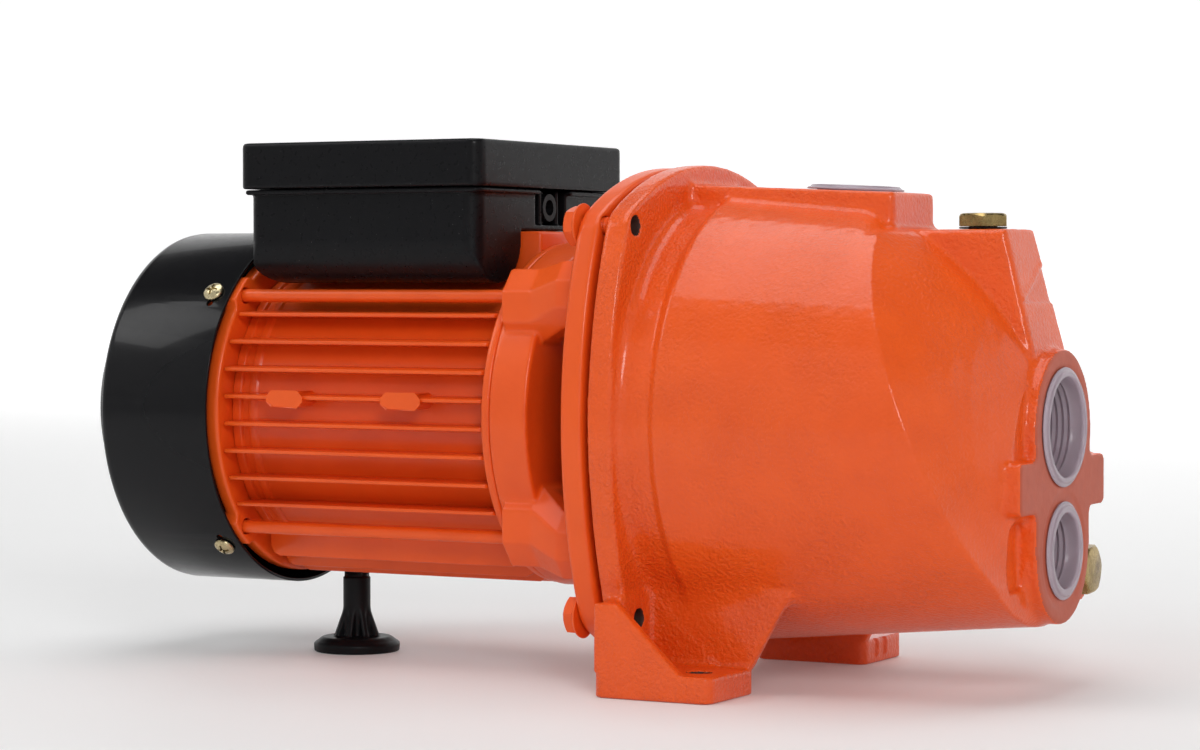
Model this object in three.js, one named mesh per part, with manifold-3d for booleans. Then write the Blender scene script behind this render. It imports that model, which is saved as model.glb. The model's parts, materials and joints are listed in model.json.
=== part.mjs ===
// Centrifugal water pump: a close-coupled electric motor and a two-port self-priming pump end.
// Units are millimetres and Z is up. The numbers below are measured from the shaft axis, in the
// plane where the casing meets the motor bracket, with X running along the shaft towards the ports.
// The outer group then moves everything so that the origin is under the middle of the pump.

import * as THREE from "three";
import { mergeVertices } from "three/addons/utils/BufferGeometryUtils.js";
import Module from "manifold-3d";

const wasm = await Module();
wasm.setup();

// ---------------------------------------------------------------- driving dimensions

const SHAFT_HEIGHT = 98; // shaft axis above the floor
const MIDDLE_X = -44; // middle of the overall length
const FIT = 0.3; // clearance between pieces that touch
const CORNERS = [
  [-1, 1],
  [1, 1],
  [-1, -1],
  [1, -1],
]; // signs of Y and Z at the four corners of a repeated pattern

// Square flanges with bulged sides, bolted corner to corner
const FLANGE_HALF_WIDTH = 83.3;
const FLANGE_HALF_HEIGHT = 95;
const FLANGE_SIDE_RADIUS = 190;
const FLANGE_TOP_RADIUS = 125;
const CASING_FLANGE = { back: 2.2, front: 11.6 };
const BRACKET_FLANGE = { back: -9.5, front: -0.5 };
const BOLT = {
  y: 62.7,
  z: 71.4,
  head: 7.5,
  headHeight: 4.2,
  collar: 8.4,
  collarHeight: 1.6,
  thread: 3.3,
};

// Casing barrel: an oval cone that starts at a low step and ends at a slanted crease
const NECK = { halfWidth: 79.8, halfHeight: 81.5, end: 24.5 };
const BARREL = { start: 28.5, halfWidth: 81.5, halfHeight: 84, sideTaper: 0.07, topTaper: 0.0925 };
const CREASE = { x: 122.5, lean: 0.4, limit: 145 };
const NOSE = { x: 147.5, halfWidth: 40.5, halfHeight: 47.5, z: -22.5, bulge: 0.12, pinch: 0.35 };
const CASING_WALL = 6;

// Port plate and threaded ports, at the thread's inner radius
const PORT_PLATE = { face: 152.5, depth: 7 };
const SUCTION = { z: -1.2, bore: 19.6, lobe: 28 };
const PRESSURE = { z: -45.7, bore: 15.2, lobe: 26.5 };
const WING = { back: 148, halfWidth: 43, top: -12.5, bottom: -31, corner: 2.5 };
const DISCHARGE = { x: 70.5, top: 85.8, front: 94, halfWidth: 20, bore: 15.2 };
const PRIMING = { x: 121, top: 70, bore: 5.9, halfWidth: 16.5, back: 88, front: 135.3 };
const DRAIN = { y: 37.2, z: -55.5, bore: 5.9, seat: 144.8, boss: 11, spotFace: 10.5 };

// Fittings: hexagon plugs and the transit caps of the three ports
const HEX_PLUG = { washer: 0.9, washerRadius: 8.8, top: 6, corner: 9.8, chamfer: 0.9, shank: 10 };
const CAP = { depth: 15, wall: 1.2, rimTop: 2.1, suctionRim: 21.8, pressureRim: 18 };

// Milled ring round each port that its cap sits in, a little below the face
const SPOT_FACE = { depth: 0.4, suction: 22.4, pressure: 21.2, discharge: 18.6 };

// Pump feet
const FOOT = {
  back: 6,
  front: 53,
  slopeEnd: 41,
  inner: 49,
  outer: 86.4,
  top: -88.5,
  wall: 5,
  shoulder: -65,
  webTop: -64,
};
const ANCHOR = { x: 41, y: 70, radius: 4.3 };

// Motor
const HOUSING = { back: -170.3, front: -52.6, body: 55, bore: 50.3, tip: 66, fin: 2.2, reach: 64 };
const FIN_PITCH = 10.6;
const SIDE_FINS = { lowest: -36, count: 8 };
const BOTTOM_FINS = 7;
const PAD = { halfWidth: 19, top: 70.4 };
const RING = { back: -52.2, front: -32.5, outer: 66.5, inner: 61 };
const STRUT = {
  back: -45.8,
  waist: -20.5,
  upper: { y: 46.5, z: 41.8, width: 15, height: 14 },
  lower: { y: 46.5, z: 39.8, width: 15, height: 15.6 },
  flange: { y: 53, z: 46.4, width: 12, height: 12.4 },
};
const SHIELD = { back: -176.5, front: -170.6, rim: 66, ear: 7.4 };
const TIE_ROD = { y: 46, z: 45.5, radius: 2.5, back: -177, front: -36 };
const COVER = {
  front: -173,
  back: -224.4,
  dome: -242.6,
  radius: 70.8,
  domeRadius: 52,
  sheet: 1.2,
  bend: 3.4,
};
const VENT = { inner: 14, outer: 42, halfWidth: 2.1, count: 12 };
const COVER_SCREW = { x: -180.7, turn: 3.9, hole: 2.3 };

// Shaft line: two 15 x 35 x 11 deep-groove bearings
const BEARING = { bore: 7.5, outer: 17.5, width: 11, rearX: -190, frontX: -52, balls: 7 };
const STACK = { back: -147, front: -77, rotor: 28.6, stator: 29.3, outer: 50 };
const FAN = { back: -219, front: -201, hub: 13, disc: 58, blade: 60, blades: 8 };
const IMPELLER = { back: 4, radius: 61, bore: 6.3, vanes: 6 };
const SEAL = { back: -8.6, radius: 13.2 };

// Terminal box
const LID = { back: -166.3, front: -57.3, halfWidth: 58.2, bottom: 87, top: 104.8, corner: 5, wall: 2 };
const TERMINALS = { back: -138, pitch: 9, poles: 5 };
const LID_SCREW = { head: 3.6, shank: 1.7, sink: 2.6, pillar: 8 };
const TRAY = { back: -164.5, front: -60.8, halfWidth: 54, bottom: 70.8, top: 86.6, wall: 2.2 };
const POD = { outer: -54, inner: -20, bottom: 50.4 };
const GLAND = { y: 3, z: 79.8, depth: 8, near: -9, far: 15, hole: 5.1, thread: 4.8, mouth: 3.2 };

const MOTOR_FOOT = { x: -148.8, pad: 17.1, padTop: -94, stem: 5.5, rib: 9.8, top: -66.6 };

// ---------------------------------------------------------------- solids from three.js shapes

// A closed geometry as a solid that can be joined and cut. Doubled points are merged, slivers
// that collapse on an axis are dropped, and a solid whose faces point inwards is turned round.
function solid(geometry) {
  const bare = new THREE.BufferGeometry();
  bare.setAttribute("position", geometry.getAttribute("position"));
  if (geometry.index) bare.setIndex(geometry.index);
  const merged = mergeVertices(bare, 1e-4);
  const kept = [];
  const index = merged.index.array;
  for (let i = 0; i < index.length; i += 3) {
    const [a, b, c] = [index[i], index[i + 1], index[i + 2]];
    if (a !== b && b !== c && c !== a) kept.push(a, b, c);
  }
  const make = (triangles) =>
    new wasm.Manifold(
      new wasm.Mesh({
        numProp: 3,
        vertProperties: merged.attributes.position.array,
        triVerts: new Uint32Array(triangles),
      }),
    );
  const made = make(kept);
  return made.volume() > 0 ? made : make(kept.reverse());
}

const union = (pieces) => pieces.reduce((whole, next) => whole.add(next));
const join = (...pieces) => union(pieces);
const cut = (first, ...others) => others.reduce((whole, next) => whole.subtract(next), first);

// The turns that carry a drawing's own right, up and depth onto the pump's axes
const ALONG_X = new THREE.Matrix4().makeBasis(
  new THREE.Vector3(0, 1, 0),
  new THREE.Vector3(0, 0, 1),
  new THREE.Vector3(1, 0, 0),
);
const ALONG_Y = new THREE.Matrix4().makeBasis(
  new THREE.Vector3(1, 0, 0),
  new THREE.Vector3(0, 0, 1),
  new THREE.Vector3(0, -1, 0),
);

// A box between two corners, given as ranges along X, Y and Z.
function block([x0, x1], [y0, y1], [z0, z1]) {
  const geometry = new THREE.BoxGeometry(x1 - x0, y1 - y0, z1 - z0);
  return solid(geometry.translate((x0 + x1) / 2, (y0 + y1) / 2, (z0 + z1) / 2));
}

// A solid of revolution about X. The profile is a list of [x, radius] corners.
function turned(profile, segments = 32) {
  const points = [...profile, profile[0]].map(([x, r]) => new THREE.Vector2(r, x));
  return solid(new THREE.LatheGeometry(points, segments).rotateZ(-Math.PI / 2));
}

const ring = (x0, x1, inner, outer, segments) =>
  turned([[x0, inner], [x0, outer], [x1, outer], [x1, inner]], segments);

const rod = (x0, x1, radius, segments = 16) => ring(x0, x1, 0, radius, segments);

// The same two shapes standing upright on Z, at a point in plan.
const upright = (piece, x, y) => piece.rotate([0, -90, 0]).translate([x, y, 0]);

// A flat outline of [right, up] corners, pushed from one station to another along X, Y or Z.
function prism(axis, outline, from, to) {
  const shape =
    outline instanceof THREE.Shape
      ? outline
      : new THREE.Shape(outline.map(([u, v]) => new THREE.Vector2(u, v)));
  const geometry = new THREE.ExtrudeGeometry(shape, {
    depth: to - from,
    bevelEnabled: false,
    curveSegments: 5,
  });
  if (axis === "x") geometry.applyMatrix4(ALONG_X).translate(from, 0, 0);
  if (axis === "y") geometry.applyMatrix4(ALONG_Y).translate(0, to, 0);
  if (axis === "z") geometry.translate(0, 0, from);
  return solid(geometry);
}

function roundedRectangle(x0, x1, y0, y1, r) {
  const shape = new THREE.Shape();
  shape.moveTo(x0 + r, y0);
  shape.lineTo(x1 - r, y0);
  shape.absarc(x1 - r, y0 + r, r, -Math.PI / 2, 0);
  shape.lineTo(x1, y1 - r);
  shape.absarc(x1 - r, y1 - r, r, 0, Math.PI / 2);
  shape.lineTo(x0 + r, y1);
  shape.absarc(x0 + r, y1 - r, r, Math.PI / 2, Math.PI);
  shape.lineTo(x0, y0 + r);
  shape.absarc(x0 + r, y0 + r, r, Math.PI, Math.PI * 1.5);
  return shape;
}

// A closed skin through rings of points with the same count, with a flat fan on each end.
function loft(rings) {
  const count = rings[0].length;
  const positions = rings.flat().flatMap((p) => [p.x, p.y, p.z]);
  const index = [];
  for (let r = 0; r + 1 < rings.length; r++) {
    for (let i = 0; i < count; i++) {
      const a = r * count + i;
      const b = r * count + ((i + 1) % count);
      index.push(a, a + count, b, b, a + count, b + count);
    }
  }
  for (const end of [0, rings.length - 1]) {
    const middle = new THREE.Vector3();
    rings[end].forEach((p) => middle.addScaledVector(p, 1 / count));
    const centre = positions.length / 3;
    positions.push(middle.x, middle.y, middle.z);
    for (let i = 0; i < count; i++) {
      const a = end * count + i;
      const b = end * count + ((i + 1) % count);
      index.push(...(end === 0 ? [centre, a, b] : [centre, b, a]));
    }
  }
  const geometry = new THREE.BufferGeometry();
  geometry.setAttribute("position", new THREE.Float32BufferAttribute(positions, 3));
  geometry.setIndex(index);
  return solid(geometry);
}

// ---------------------------------------------------------------- pump end

// The flange outline is where four shallow arcs cross, one for each side.
function flangePlate(back, front, shrink = 0) {
  const side = FLANGE_SIDE_RADIUS - shrink;
  const top = FLANGE_TOP_RADIUS - shrink;
  const sideCentre = FLANGE_SIDE_RADIUS - FLANGE_HALF_WIDTH;
  const topCentre = FLANGE_TOP_RADIUS - FLANGE_HALF_HEIGHT;
  return rod(back, front, side, 72)
    .translate([0, sideCentre, 0])
    .intersect(rod(back, front, side, 72).translate([0, -sideCentre, 0]))
    .intersect(rod(back, front, top, 60).translate([0, 0, topCentre]))
    .intersect(rod(back, front, top, 60).translate([0, 0, -topCentre]));
}

const RING_POINTS = 32;

// One station of the casing skin: a direction round the axis in, a point out.
const skinRing = (point) =>
  Array.from({ length: RING_POINTS }, (_, i) => {
    const turn = (i / RING_POINTS) * Math.PI * 2;
    return point(Math.cos(turn), Math.sin(turn));
  });

const ovalRing = (x, halfWidth, halfHeight, z = 0) =>
  skinRing((c, s) => new THREE.Vector3(x, c * halfWidth, z + s * halfHeight));

// The crease is cut across the barrel by a plane that leans back towards the top.
function creaseRing(inset) {
  return skinRing((c, s) => {
    const height = BARREL.halfHeight - inset + BARREL.topTaper * BARREL.start;
    const along = (CREASE.x - CREASE.lean * s * height) / (1 - CREASE.lean * s * BARREL.topTaper);
    const x = Math.min(along, CREASE.limit) - inset;
    const run = x - BARREL.start;
    return new THREE.Vector3(
      x,
      c * (BARREL.halfWidth - inset - BARREL.sideTaper * run),
      s * (BARREL.halfHeight - inset - BARREL.topTaper * run),
    );
  });
}

// Barrel and nose together, with the wall taken off all round for the inside. The nose's end is
// an oval that narrows towards the bottom.
function casingSkin(start, inset) {
  const crease = creaseRing(inset);
  const tip = skinRing((c, s) => {
    const halfWidth = (NOSE.halfWidth - inset / 2) * (1 + NOSE.pinch * Math.min(0, s));
    const z = NOSE.z + s * (NOSE.halfHeight - inset / 2);
    return new THREE.Vector3(NOSE.x - inset, c * halfWidth, z);
  });
  const between = [0.35, 0.7].map((part) =>
    crease.map((p, i) => {
      const point = p.clone().lerp(tip[i], part);
      point.x += NOSE.bulge * (tip[i].x - p.x) * Math.sin(part * Math.PI);
      return point;
    }),
  );
  return loft([
    ovalRing(start, NECK.halfWidth - inset, NECK.halfHeight - inset),
    ovalRing(NECK.end, NECK.halfWidth - inset, NECK.halfHeight - inset),
    ovalRing(BARREL.start, BARREL.halfWidth - inset, BARREL.halfHeight - inset),
    crease,
    ...between,
    tip,
  ]);
}

// Two round lobes round the ports, with a shallow wing across them on each side
function portPlate() {
  const back = NOSE.x - PORT_PLATE.depth;
  const wings = roundedRectangle(
    -WING.halfWidth,
    WING.halfWidth,
    WING.bottom,
    WING.top,
    WING.corner,
  );
  return join(
    rod(back, PORT_PLATE.face, SUCTION.lobe, 32).translate([0, 0, SUCTION.z]),
    rod(back, PORT_PLATE.face, PRESSURE.lobe, 32).translate([0, 0, PRESSURE.z]),
    block([back, PORT_PLATE.face], [-PRESSURE.lobe, PRESSURE.lobe], [PRESSURE.z, SUCTION.z]),
    prism("x", wings, WING.back, PORT_PLATE.face),
  );
}

// One foot on the +Y side: a base, an outer wall that falls from the flange, an inner web that
// climbs to the barrel, and a back wall in the plane of the flange.
function pumpFoot() {
  const { back, front, inner, outer, top, wall, slopeEnd, shoulder, webTop } = FOOT;
  const floor = -SHAFT_HEIGHT;
  const outerWall = [
    [back, floor],
    [slopeEnd, floor],
    [slopeEnd, top],
    [CASING_FLANGE.front + 4, shoulder],
    [back, shoulder],
  ];
  const innerWeb = [
    [back, floor],
    [front - 1, floor],
    [front - 1, top],
    [front + 15, webTop],
    [back, webTop],
  ];
  return join(
    block([back, front], [inner, outer], [floor, top]),
    prism("y", outerWall, outer - wall, outer),
    prism("y", innerWeb, inner, inner + wall),
    block([back, CASING_FLANGE.front], [inner, outer], [floor, shoulder]),
  );
}

// The three pipe ports and the two plug holes of the casing, with the station where each starts
// inside, the face where it ends, its radius, and how many sides it has
const PORTS = [
  {
    along: "x",
    from: 110,
    to: PORT_PLATE.face,
    y: 0,
    z: SUCTION.z,
    bore: SUCTION.bore,
    sides: 28,
    spotFace: SPOT_FACE.suction,
  },
  {
    along: "x",
    from: 110,
    to: PORT_PLATE.face,
    y: 0,
    z: PRESSURE.z,
    bore: PRESSURE.bore,
    sides: 24,
    spotFace: SPOT_FACE.pressure,
  },
  {
    along: "z",
    from: 40,
    to: DISCHARGE.top,
    x: DISCHARGE.x,
    bore: DISCHARGE.bore,
    sides: 24,
    spotFace: SPOT_FACE.discharge,
  },
];
const PLUG_HOLES = [
  { along: "x", from: 116, to: DRAIN.seat, y: DRAIN.y, z: DRAIN.z, bore: DRAIN.bore, sides: 14 },
  { along: "z", from: 40, to: PRIMING.top, x: PRIMING.x, bore: PRIMING.bore, sides: 14 },
];
const THREADS = [...PORTS, ...PLUG_HOLES];
const THREAD_WALL = 5;

// A rod in the line of one threaded hole, between two stations and at a radius of its own.
function threadRod({ along, x, y, z, sides }, from, to, radius) {
  const shape = rod(from, to, radius, sides);
  return along === "x" ? shape.translate([0, y, z]) : upright(shape, x, 0);
}

function pumpCasing() {
  const foot = pumpFoot();
  const past = 1;
  const fillerNeck = [
    [PRIMING.back, 40],
    [PRIMING.back, PRIMING.top],
    [PRIMING.front, PRIMING.top],
    [NOSE.x - 0.5, 26],
    [NOSE.x - 0.5, 0],
  ];
  const outside = join(
    casingSkin(CASING_FLANGE.back, 0),
    flangePlate(CASING_FLANGE.back, CASING_FLANGE.front),
    foot,
    foot.mirror([0, 1, 0]),
    block(
      [CASING_FLANGE.back, DISCHARGE.front],
      [-DISCHARGE.halfWidth, DISCHARGE.halfWidth],
      [60, DISCHARGE.top],
    ),
    prism("y", fillerNeck, -PRIMING.halfWidth, PRIMING.halfWidth),
    portPlate(),
    rod(NOSE.x - 25, DRAIN.seat, DRAIN.boss, 20).translate([0, DRAIN.y, DRAIN.z]),
  );
  const hollow = casingSkin(CASING_FLANGE.back - past, CASING_WALL);
  const bosses = THREADS.map((thread) =>
    threadRod(thread, thread.from + 12, thread.to - CASING_WALL, thread.bore + THREAD_WALL),
  );
  const bores = THREADS.map((thread) =>
    threadRod(thread, thread.from, thread.to + past, thread.bore),
  );
  const spotFaces = PORTS.map((port) =>
    threadRod(port, port.to - SPOT_FACE.depth, port.to + past, port.spotFace),
  );
  const drainSpotFace = rod(DRAIN.seat, PORT_PLATE.face, DRAIN.spotFace, 20);
  const boltHoles = CORNERS.map(([y, z]) =>
    rod(0, CASING_FLANGE.front + past, BOLT.thread + FIT, 12).translate([0, y * BOLT.y, z * BOLT.z]),
  );
  const anchorHoles = [-1, 1].map((side) =>
    upright(
      rod(-SHAFT_HEIGHT - past, FOOT.top + past, ANCHOR.radius),
      ANCHOR.x,
      side * ANCHOR.y,
    ),
  );
  return cut(
    cut(outside, hollow).add(union(bosses).intersect(outside)),
    drainSpotFace.translate([0, DRAIN.y, DRAIN.z]),
    ...bores,
    ...spotFaces,
    ...boltHoles,
    ...anchorHoles,
  );
}

// A thin ring that keeps the two flanges a little apart
const casingGasket = () =>
  ring(BRACKET_FLANGE.front + FIT, CASING_FLANGE.back - FIT, 72.5, 76.5, 32);

// The cup that turns the impeller's throw into pressure, open behind, with a neck at the eye
const diffuser = () =>
  turned(
    [
      [0.2, 66],
      [0.2, 70],
      [26, 70],
      [29, 64],
      [29, 23],
      [40, 23],
      [40, 19],
      [25, 19],
      [25, 62],
      [23, 66],
    ],
    28,
  );

function impeller() {
  const { back, radius, bore, vanes } = IMPELLER;
  const frontShroud = [
    [back + 12, 17],
    [back + 12, radius],
    [back + 14.5, radius],
    [back + 17.5, 18.6],
    [back + 30, 18.6],
    [back + 30, 16.2],
    [back + 15, 16.2],
  ];
  const vane = block([back + 2, back + 13], [14, radius - 2], [-1.2, 1.2]).translate([0, 0, 6]);
  return join(
    ring(back, back + 3, bore, radius, 24),
    ring(back, back + 22, bore, 10.5, 16),
    turned(frontShroud, 24),
    ...Array.from({ length: vanes }, (_, i) => vane.rotate([(i * 360) / vanes, 0, 0])),
  );
}

const impellerNut = () => cut(rod(26.5, 34, 8.6, 6), rod(26, 35, 5.3, 12));

// Mechanical seal: the turning head runs against the seat in the bracket plate
const sealHead = () =>
  turned(
    [
      [-3.4, 6.8],
      [-3.4, 11],
      [-1.2, 12.4],
      [3.6, 12.4],
      [3.6, 6.8],
    ],
    18,
  );

const sealSeat = () => ring(SEAL.back, -3.9, 8.2, SEAL.radius, 18);

// A threaded plug with a chamfered hexagon head, drawn from the face it seals on
function hexPlug() {
  const { washer, top, corner, shank, chamfer } = HEX_PLUG;
  const under = washer + FIT;
  const dome = [
    [under, 0],
    [under, corner],
    [top - chamfer, corner],
    [top, corner - 1.3],
    [top, 0],
  ];
  return join(
    rod(under, top, corner, 6).intersect(turned(dome, 24)),
    rod(-shank, 2, DRAIN.bore - FIT),
  );
}

const plugWasher = () => ring(FIT, HEX_PLUG.washer, DRAIN.bore + FIT, HEX_PLUG.washerRadius, 20);

// A plastic transit cap: a thin cup pushed into a port, with a rim on the port's face
function portCap(bore, rim) {
  const { depth, wall, rimTop } = CAP;
  const outer = bore - FIT - 0.1;
  return turned(
    [
      [-depth, 0],
      [-depth, outer - 0.6],
      [FIT, outer],
      [FIT, rim],
      [rimTop, rim],
      [rimTop, outer - wall],
      [wall - depth, outer - wall - 0.6],
      [wall - depth, 0],
    ],
    24,
  );
}

function flangeBolt() {
  const seat = BRACKET_FLANGE.back - FIT;
  const underHead = seat - BOLT.collarHeight;
  return join(
    rod(underHead - BOLT.headHeight, underHead, BOLT.head, 6),
    rod(underHead - 0.1, seat, BOLT.collar),
    rod(seat - 1, CASING_FLANGE.front - 3, BOLT.thread, 10),
  );
}

// ---------------------------------------------------------------- motor

// Cage between motor and pump: a ring over the stator housing, a front wall with the bearing
// pocket, a dished back to the seal, four struts and the square flange.
function motorBracket() {
  const pocket = BEARING.outer + FIT;
  const sealPocket = SEAL.radius + FIT;
  const sealBack = SEAL.back - FIT * 2;
  const dishedBack = [
    [-56.5, 9],
    [-56.5, 23],
    [-33.5, 27],
    [-24, 46],
    [-9, 58],
    [-9, 9],
  ];
  const shaftTunnel = [
    [-41.5, 0],
    [-41.5, 10],
    [-33, 10],
    [-33, 20],
    [-25, 20],
    [-14, 16],
    [-14, 9.5],
    [sealBack, 9.5],
    [sealBack, sealPocket],
    [0, sealPocket],
    [0, 0],
  ];
  const motorSide = [
    [RING.back - 1, 28],
    [RING.back - 1, RING.inner - 0.5],
    [-39.5, RING.inner - 0.5],
    [-39.5, 30],
  ];
  const boltHole = rod(-20, 0, BOLT.thread + 0.9, 12);
  const tieHole = rod(RING.back - 1, TIE_ROD.front + 1, TIE_ROD.radius + FIT, 10);
  return cut(
    join(
      ring(RING.back, RING.front, RING.inner, RING.outer, 32),
      ring(-39, RING.front, 20, RING.inner + 2, 32),
      turned(dishedBack, 28),
      flangePlate(BRACKET_FLANGE.back, BRACKET_FLANGE.front, 0.8),
      ...CORNERS.map(bracketStrut),
    ),
    turned(shaftTunnel, 20),
    rod(-57, -41, pocket, 24),
    turned(motorSide, 32),
    ...CORNERS.map(([y, z]) => boltHole.translate([0, y * BOLT.y, z * BOLT.z])),
    ...CORNERS.map(([y, z]) => tieHole.translate([0, y * TIE_ROD.y, z * TIE_ROD.z])),
  );
}

// A strut starts as a wide boss on the ring and narrows towards the flange's corner. The two
// lower ones are the taller.
function bracketStrut([y, z]) {
  const boss = z > 0 ? STRUT.upper : STRUT.lower;
  const corners = [
    [-0.5, -1],
    [0.5, -1],
    [1, -0.4],
    [1, 0.4],
    [0.5, 1],
    [-0.5, 1],
    [-1, 0.4],
    [-1, -0.4],
  ];
  const section = (x, { y: middleY, z: middleZ, width, height }) =>
    corners.map(
      ([u, v]) => new THREE.Vector3(x, y * middleY + u * width, z * middleZ + v * height),
    );
  return loft([
    section(STRUT.back, boss),
    section(RING.front - 1, boss),
    section(STRUT.waist, STRUT.flange),
    section(BRACKET_FLANGE.back + 2, STRUT.flange),
  ]);
}

// Finned aluminium sleeve: fins lie level on both sides and hang upright underneath
function statorHousing() {
  const { back, front, body, tip, fin, reach } = HOUSING;
  const round = (y) => Math.sqrt(tip * tip - y * y);
  const sideFins = Array.from({ length: SIDE_FINS.count }, (_, i) => {
    const z = SIDE_FINS.lowest + i * FIN_PITCH;
    const out = Math.min(reach, round(z));
    return block([back, front], [-out, out], [z - fin / 2, z + fin / 2]);
  });
  const bottomFins = Array.from({ length: BOTTOM_FINS }, (_, i) => {
    const y = (i - (BOTTOM_FINS - 1) / 2) * FIN_PITCH;
    return block([back, front], [y - fin / 2, y + fin / 2], [-round(y), 0]);
  });
  const footSlot = block([MOTOR_FOOT.x - 9, MOTOR_FOOT.x + 9], [-6.9, 6.9], [-70, -57]);
  return cut(
    join(
      rod(back, front, body, 36),
      block([back, front], [-PAD.halfWidth, PAD.halfWidth], [0, PAD.top]),
      ...sideFins,
      ...bottomFins,
    ),
    rod(back - 1, front + 1, HOUSING.bore, 36),
    footSlot,
  );
}

const statorCore = () => ring(STACK.back, STACK.front, STACK.stator, STACK.outer, 32);

// Coil heads bulge out of each end of the stator stack
function winding(x0, x1) {
  const middle = (x0 + x1) / 2;
  const section = [
    [x0, 34],
    [middle, 31.5],
    [x1, 34],
    [x1, 44],
    [middle, 46.5],
    [x0, 44],
  ];
  return turned(section, 28);
}

// Rear bearing shield: a rim on the housing, a bearing pocket, four webs, and four ears that take
// the tie rods and the cover's screws
function rearEndShield() {
  const pocket = BEARING.outer + FIT;
  const insideCover = rod(-187, SHIELD.front, COVER.radius - COVER.sheet - FIT, 32);
  const ear = rod(-186, SHIELD.front, SHIELD.ear, 12);
  const web = block([SHIELD.back, SHIELD.back + 4], [0, 60], [-7, 7]);
  const tieHole = rod(TIE_ROD.back - FIT, SHIELD.front + 1, TIE_ROD.radius + FIT, 10);
  return cut(
    join(
      ring(SHIELD.back, SHIELD.front, 52, SHIELD.rim, 32),
      ring(SHIELD.back, SHIELD.back + 4, 12, 54, 24),
      ring(-194.5, SHIELD.front, 9, 23, 24),
      ...CORNERS.map(([y, z]) => web.rotate([cornerAngle(y, z), 0, 0])),
      ...CORNERS.map(([y, z]) =>
        ear.translate([0, y * TIE_ROD.y, z * TIE_ROD.z]).intersect(insideCover),
      ),
    ),
    rod(-191.8, SHIELD.front + 1, pocket, 24),
    ...CORNERS.map(([y, z]) => tieHole.translate([0, y * TIE_ROD.y, z * TIE_ROD.z])),
    ...coverScrewHoles(),
  );
}

const cornerAngle = (y, z) => THREE.MathUtils.radToDeg(Math.atan2(z, y));

// A piece drawn along X, pointed out from the shaft axis at the place of one cover screw
const atCoverScrew = (piece, [y, z]) =>
  piece
    .rotate([0, 0, 90])
    .rotate([cornerAngle(y, z) + COVER_SCREW.turn, 0, 0])
    .translate([COVER_SCREW.x, 0, 0]);

const coverScrewHoles = () =>
  CORNERS.map((corner) => atCoverScrew(rod(57, 75, COVER_SCREW.hole, 10), corner));

const tieRod = () => rod(TIE_ROD.back, TIE_ROD.front, TIE_ROD.radius, 10);

// The cover's outline with the sheet's thickness taken off: both corners are chamfered
function coverProfile(inset) {
  const { front, back, dome, radius, domeRadius, bend } = COVER;
  const open = inset ? front + 1 : front;
  return [
    [open, 0],
    [open, radius - inset],
    [back + bend, radius - inset],
    [back + inset, radius - bend],
    [back + inset, domeRadius - inset],
    [dome + bend, domeRadius - inset - 1],
    [dome + inset, domeRadius - bend - 1],
    [dome + inset, 0],
  ];
}

function fanCover() {
  const { inner, outer, halfWidth, count } = VENT;
  const shell = cut(turned(coverProfile(0), 36), turned(coverProfile(COVER.sheet), 36));
  const vent = block([COVER.dome - 2, COVER.dome + 5], [inner, outer], [-halfWidth, halfWidth]);
  const vents = Array.from({ length: count }, (_, i) => vent.rotate([(i * 360) / count, 0, 0]));
  return cut(shell, ...vents, ...coverScrewHoles());
}

function coverScrew() {
  const seat = COVER.radius + FIT;
  const head = [
    [seat, 0],
    [seat, 4.2],
    [seat + 1.2, 3.9],
    [seat + 2.2, 2.6],
    [seat + 2.4, 0],
  ];
  return join(turned(head, 12), rod(seat - 11, seat + 0.5, 2, 8));
}

function coolingFan() {
  const { back, front, hub, disc, blade, blades } = FAN;
  const vane = block([back, front - 2], [hub - 3, blade], [-1, 1]);
  return join(
    ring(back, front, 6.3, hub, 18),
    ring(front - 2, front, hub - 1, disc, 28),
    ...Array.from({ length: blades }, (_, i) => vane.rotate([(i * 360) / blades, 0, 0])),
  );
}

const shaft = () =>
  turned(
    [
      [-217, 0],
      [-217, 6],
      [BEARING.rearX - 1, 6],
      [BEARING.rearX - 1, BEARING.bore - FIT],
      [BEARING.rearX + BEARING.width + 1, BEARING.bore - FIT],
      [BEARING.rearX + BEARING.width + 1, 8.5],
      [BEARING.frontX - 1, 8.5],
      [BEARING.frontX - 1, BEARING.bore - FIT],
      [-22, BEARING.bore - FIT],
      [-22, 6.5],
      [IMPELLER.back - 0.4, 6.5],
      [IMPELLER.back - 0.4, 6],
      [26.2, 6],
      [26.2, 5],
      [38, 5],
      [38, 0],
    ],
    16,
  );

const rotorCore = () =>
  turned(
    [
      [STACK.back - 8, 20],
      [STACK.back - 8, 27],
      [STACK.back, 27],
      [STACK.back, STACK.rotor],
      [STACK.front, STACK.rotor],
      [STACK.front, 27],
      [STACK.front + 8, 27],
      [STACK.front + 8, 20],
      [STACK.front, 20],
      [STACK.front, 8.8],
      [STACK.back, 8.8],
      [STACK.back, 20],
    ],
    24,
  );

const slinger = () =>
  turned(
    [
      [-31, 7.5],
      [-31, 13],
      [-29, 14.5],
      [-28, 14.5],
      [-28, 7.5],
    ],
    18,
  );

// Bearing parts, drawn from the bearing's own back face. Each race has a V-shaped track.
const bearingOuter = () =>
  turned(
    [
      [0, 14.8],
      [0, BEARING.outer],
      [BEARING.width, BEARING.outer],
      [BEARING.width, 14.8],
      [8, 14.8],
      [5.5, 15.9],
      [3, 14.8],
    ],
    20,
  );

const bearingInner = () =>
  turned(
    [
      [0, BEARING.bore],
      [0, 10.2],
      [3, 10.2],
      [5.5, 9.1],
      [8, 10.2],
      [BEARING.width, 10.2],
      [BEARING.width, BEARING.bore],
    ],
    20,
  );

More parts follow.
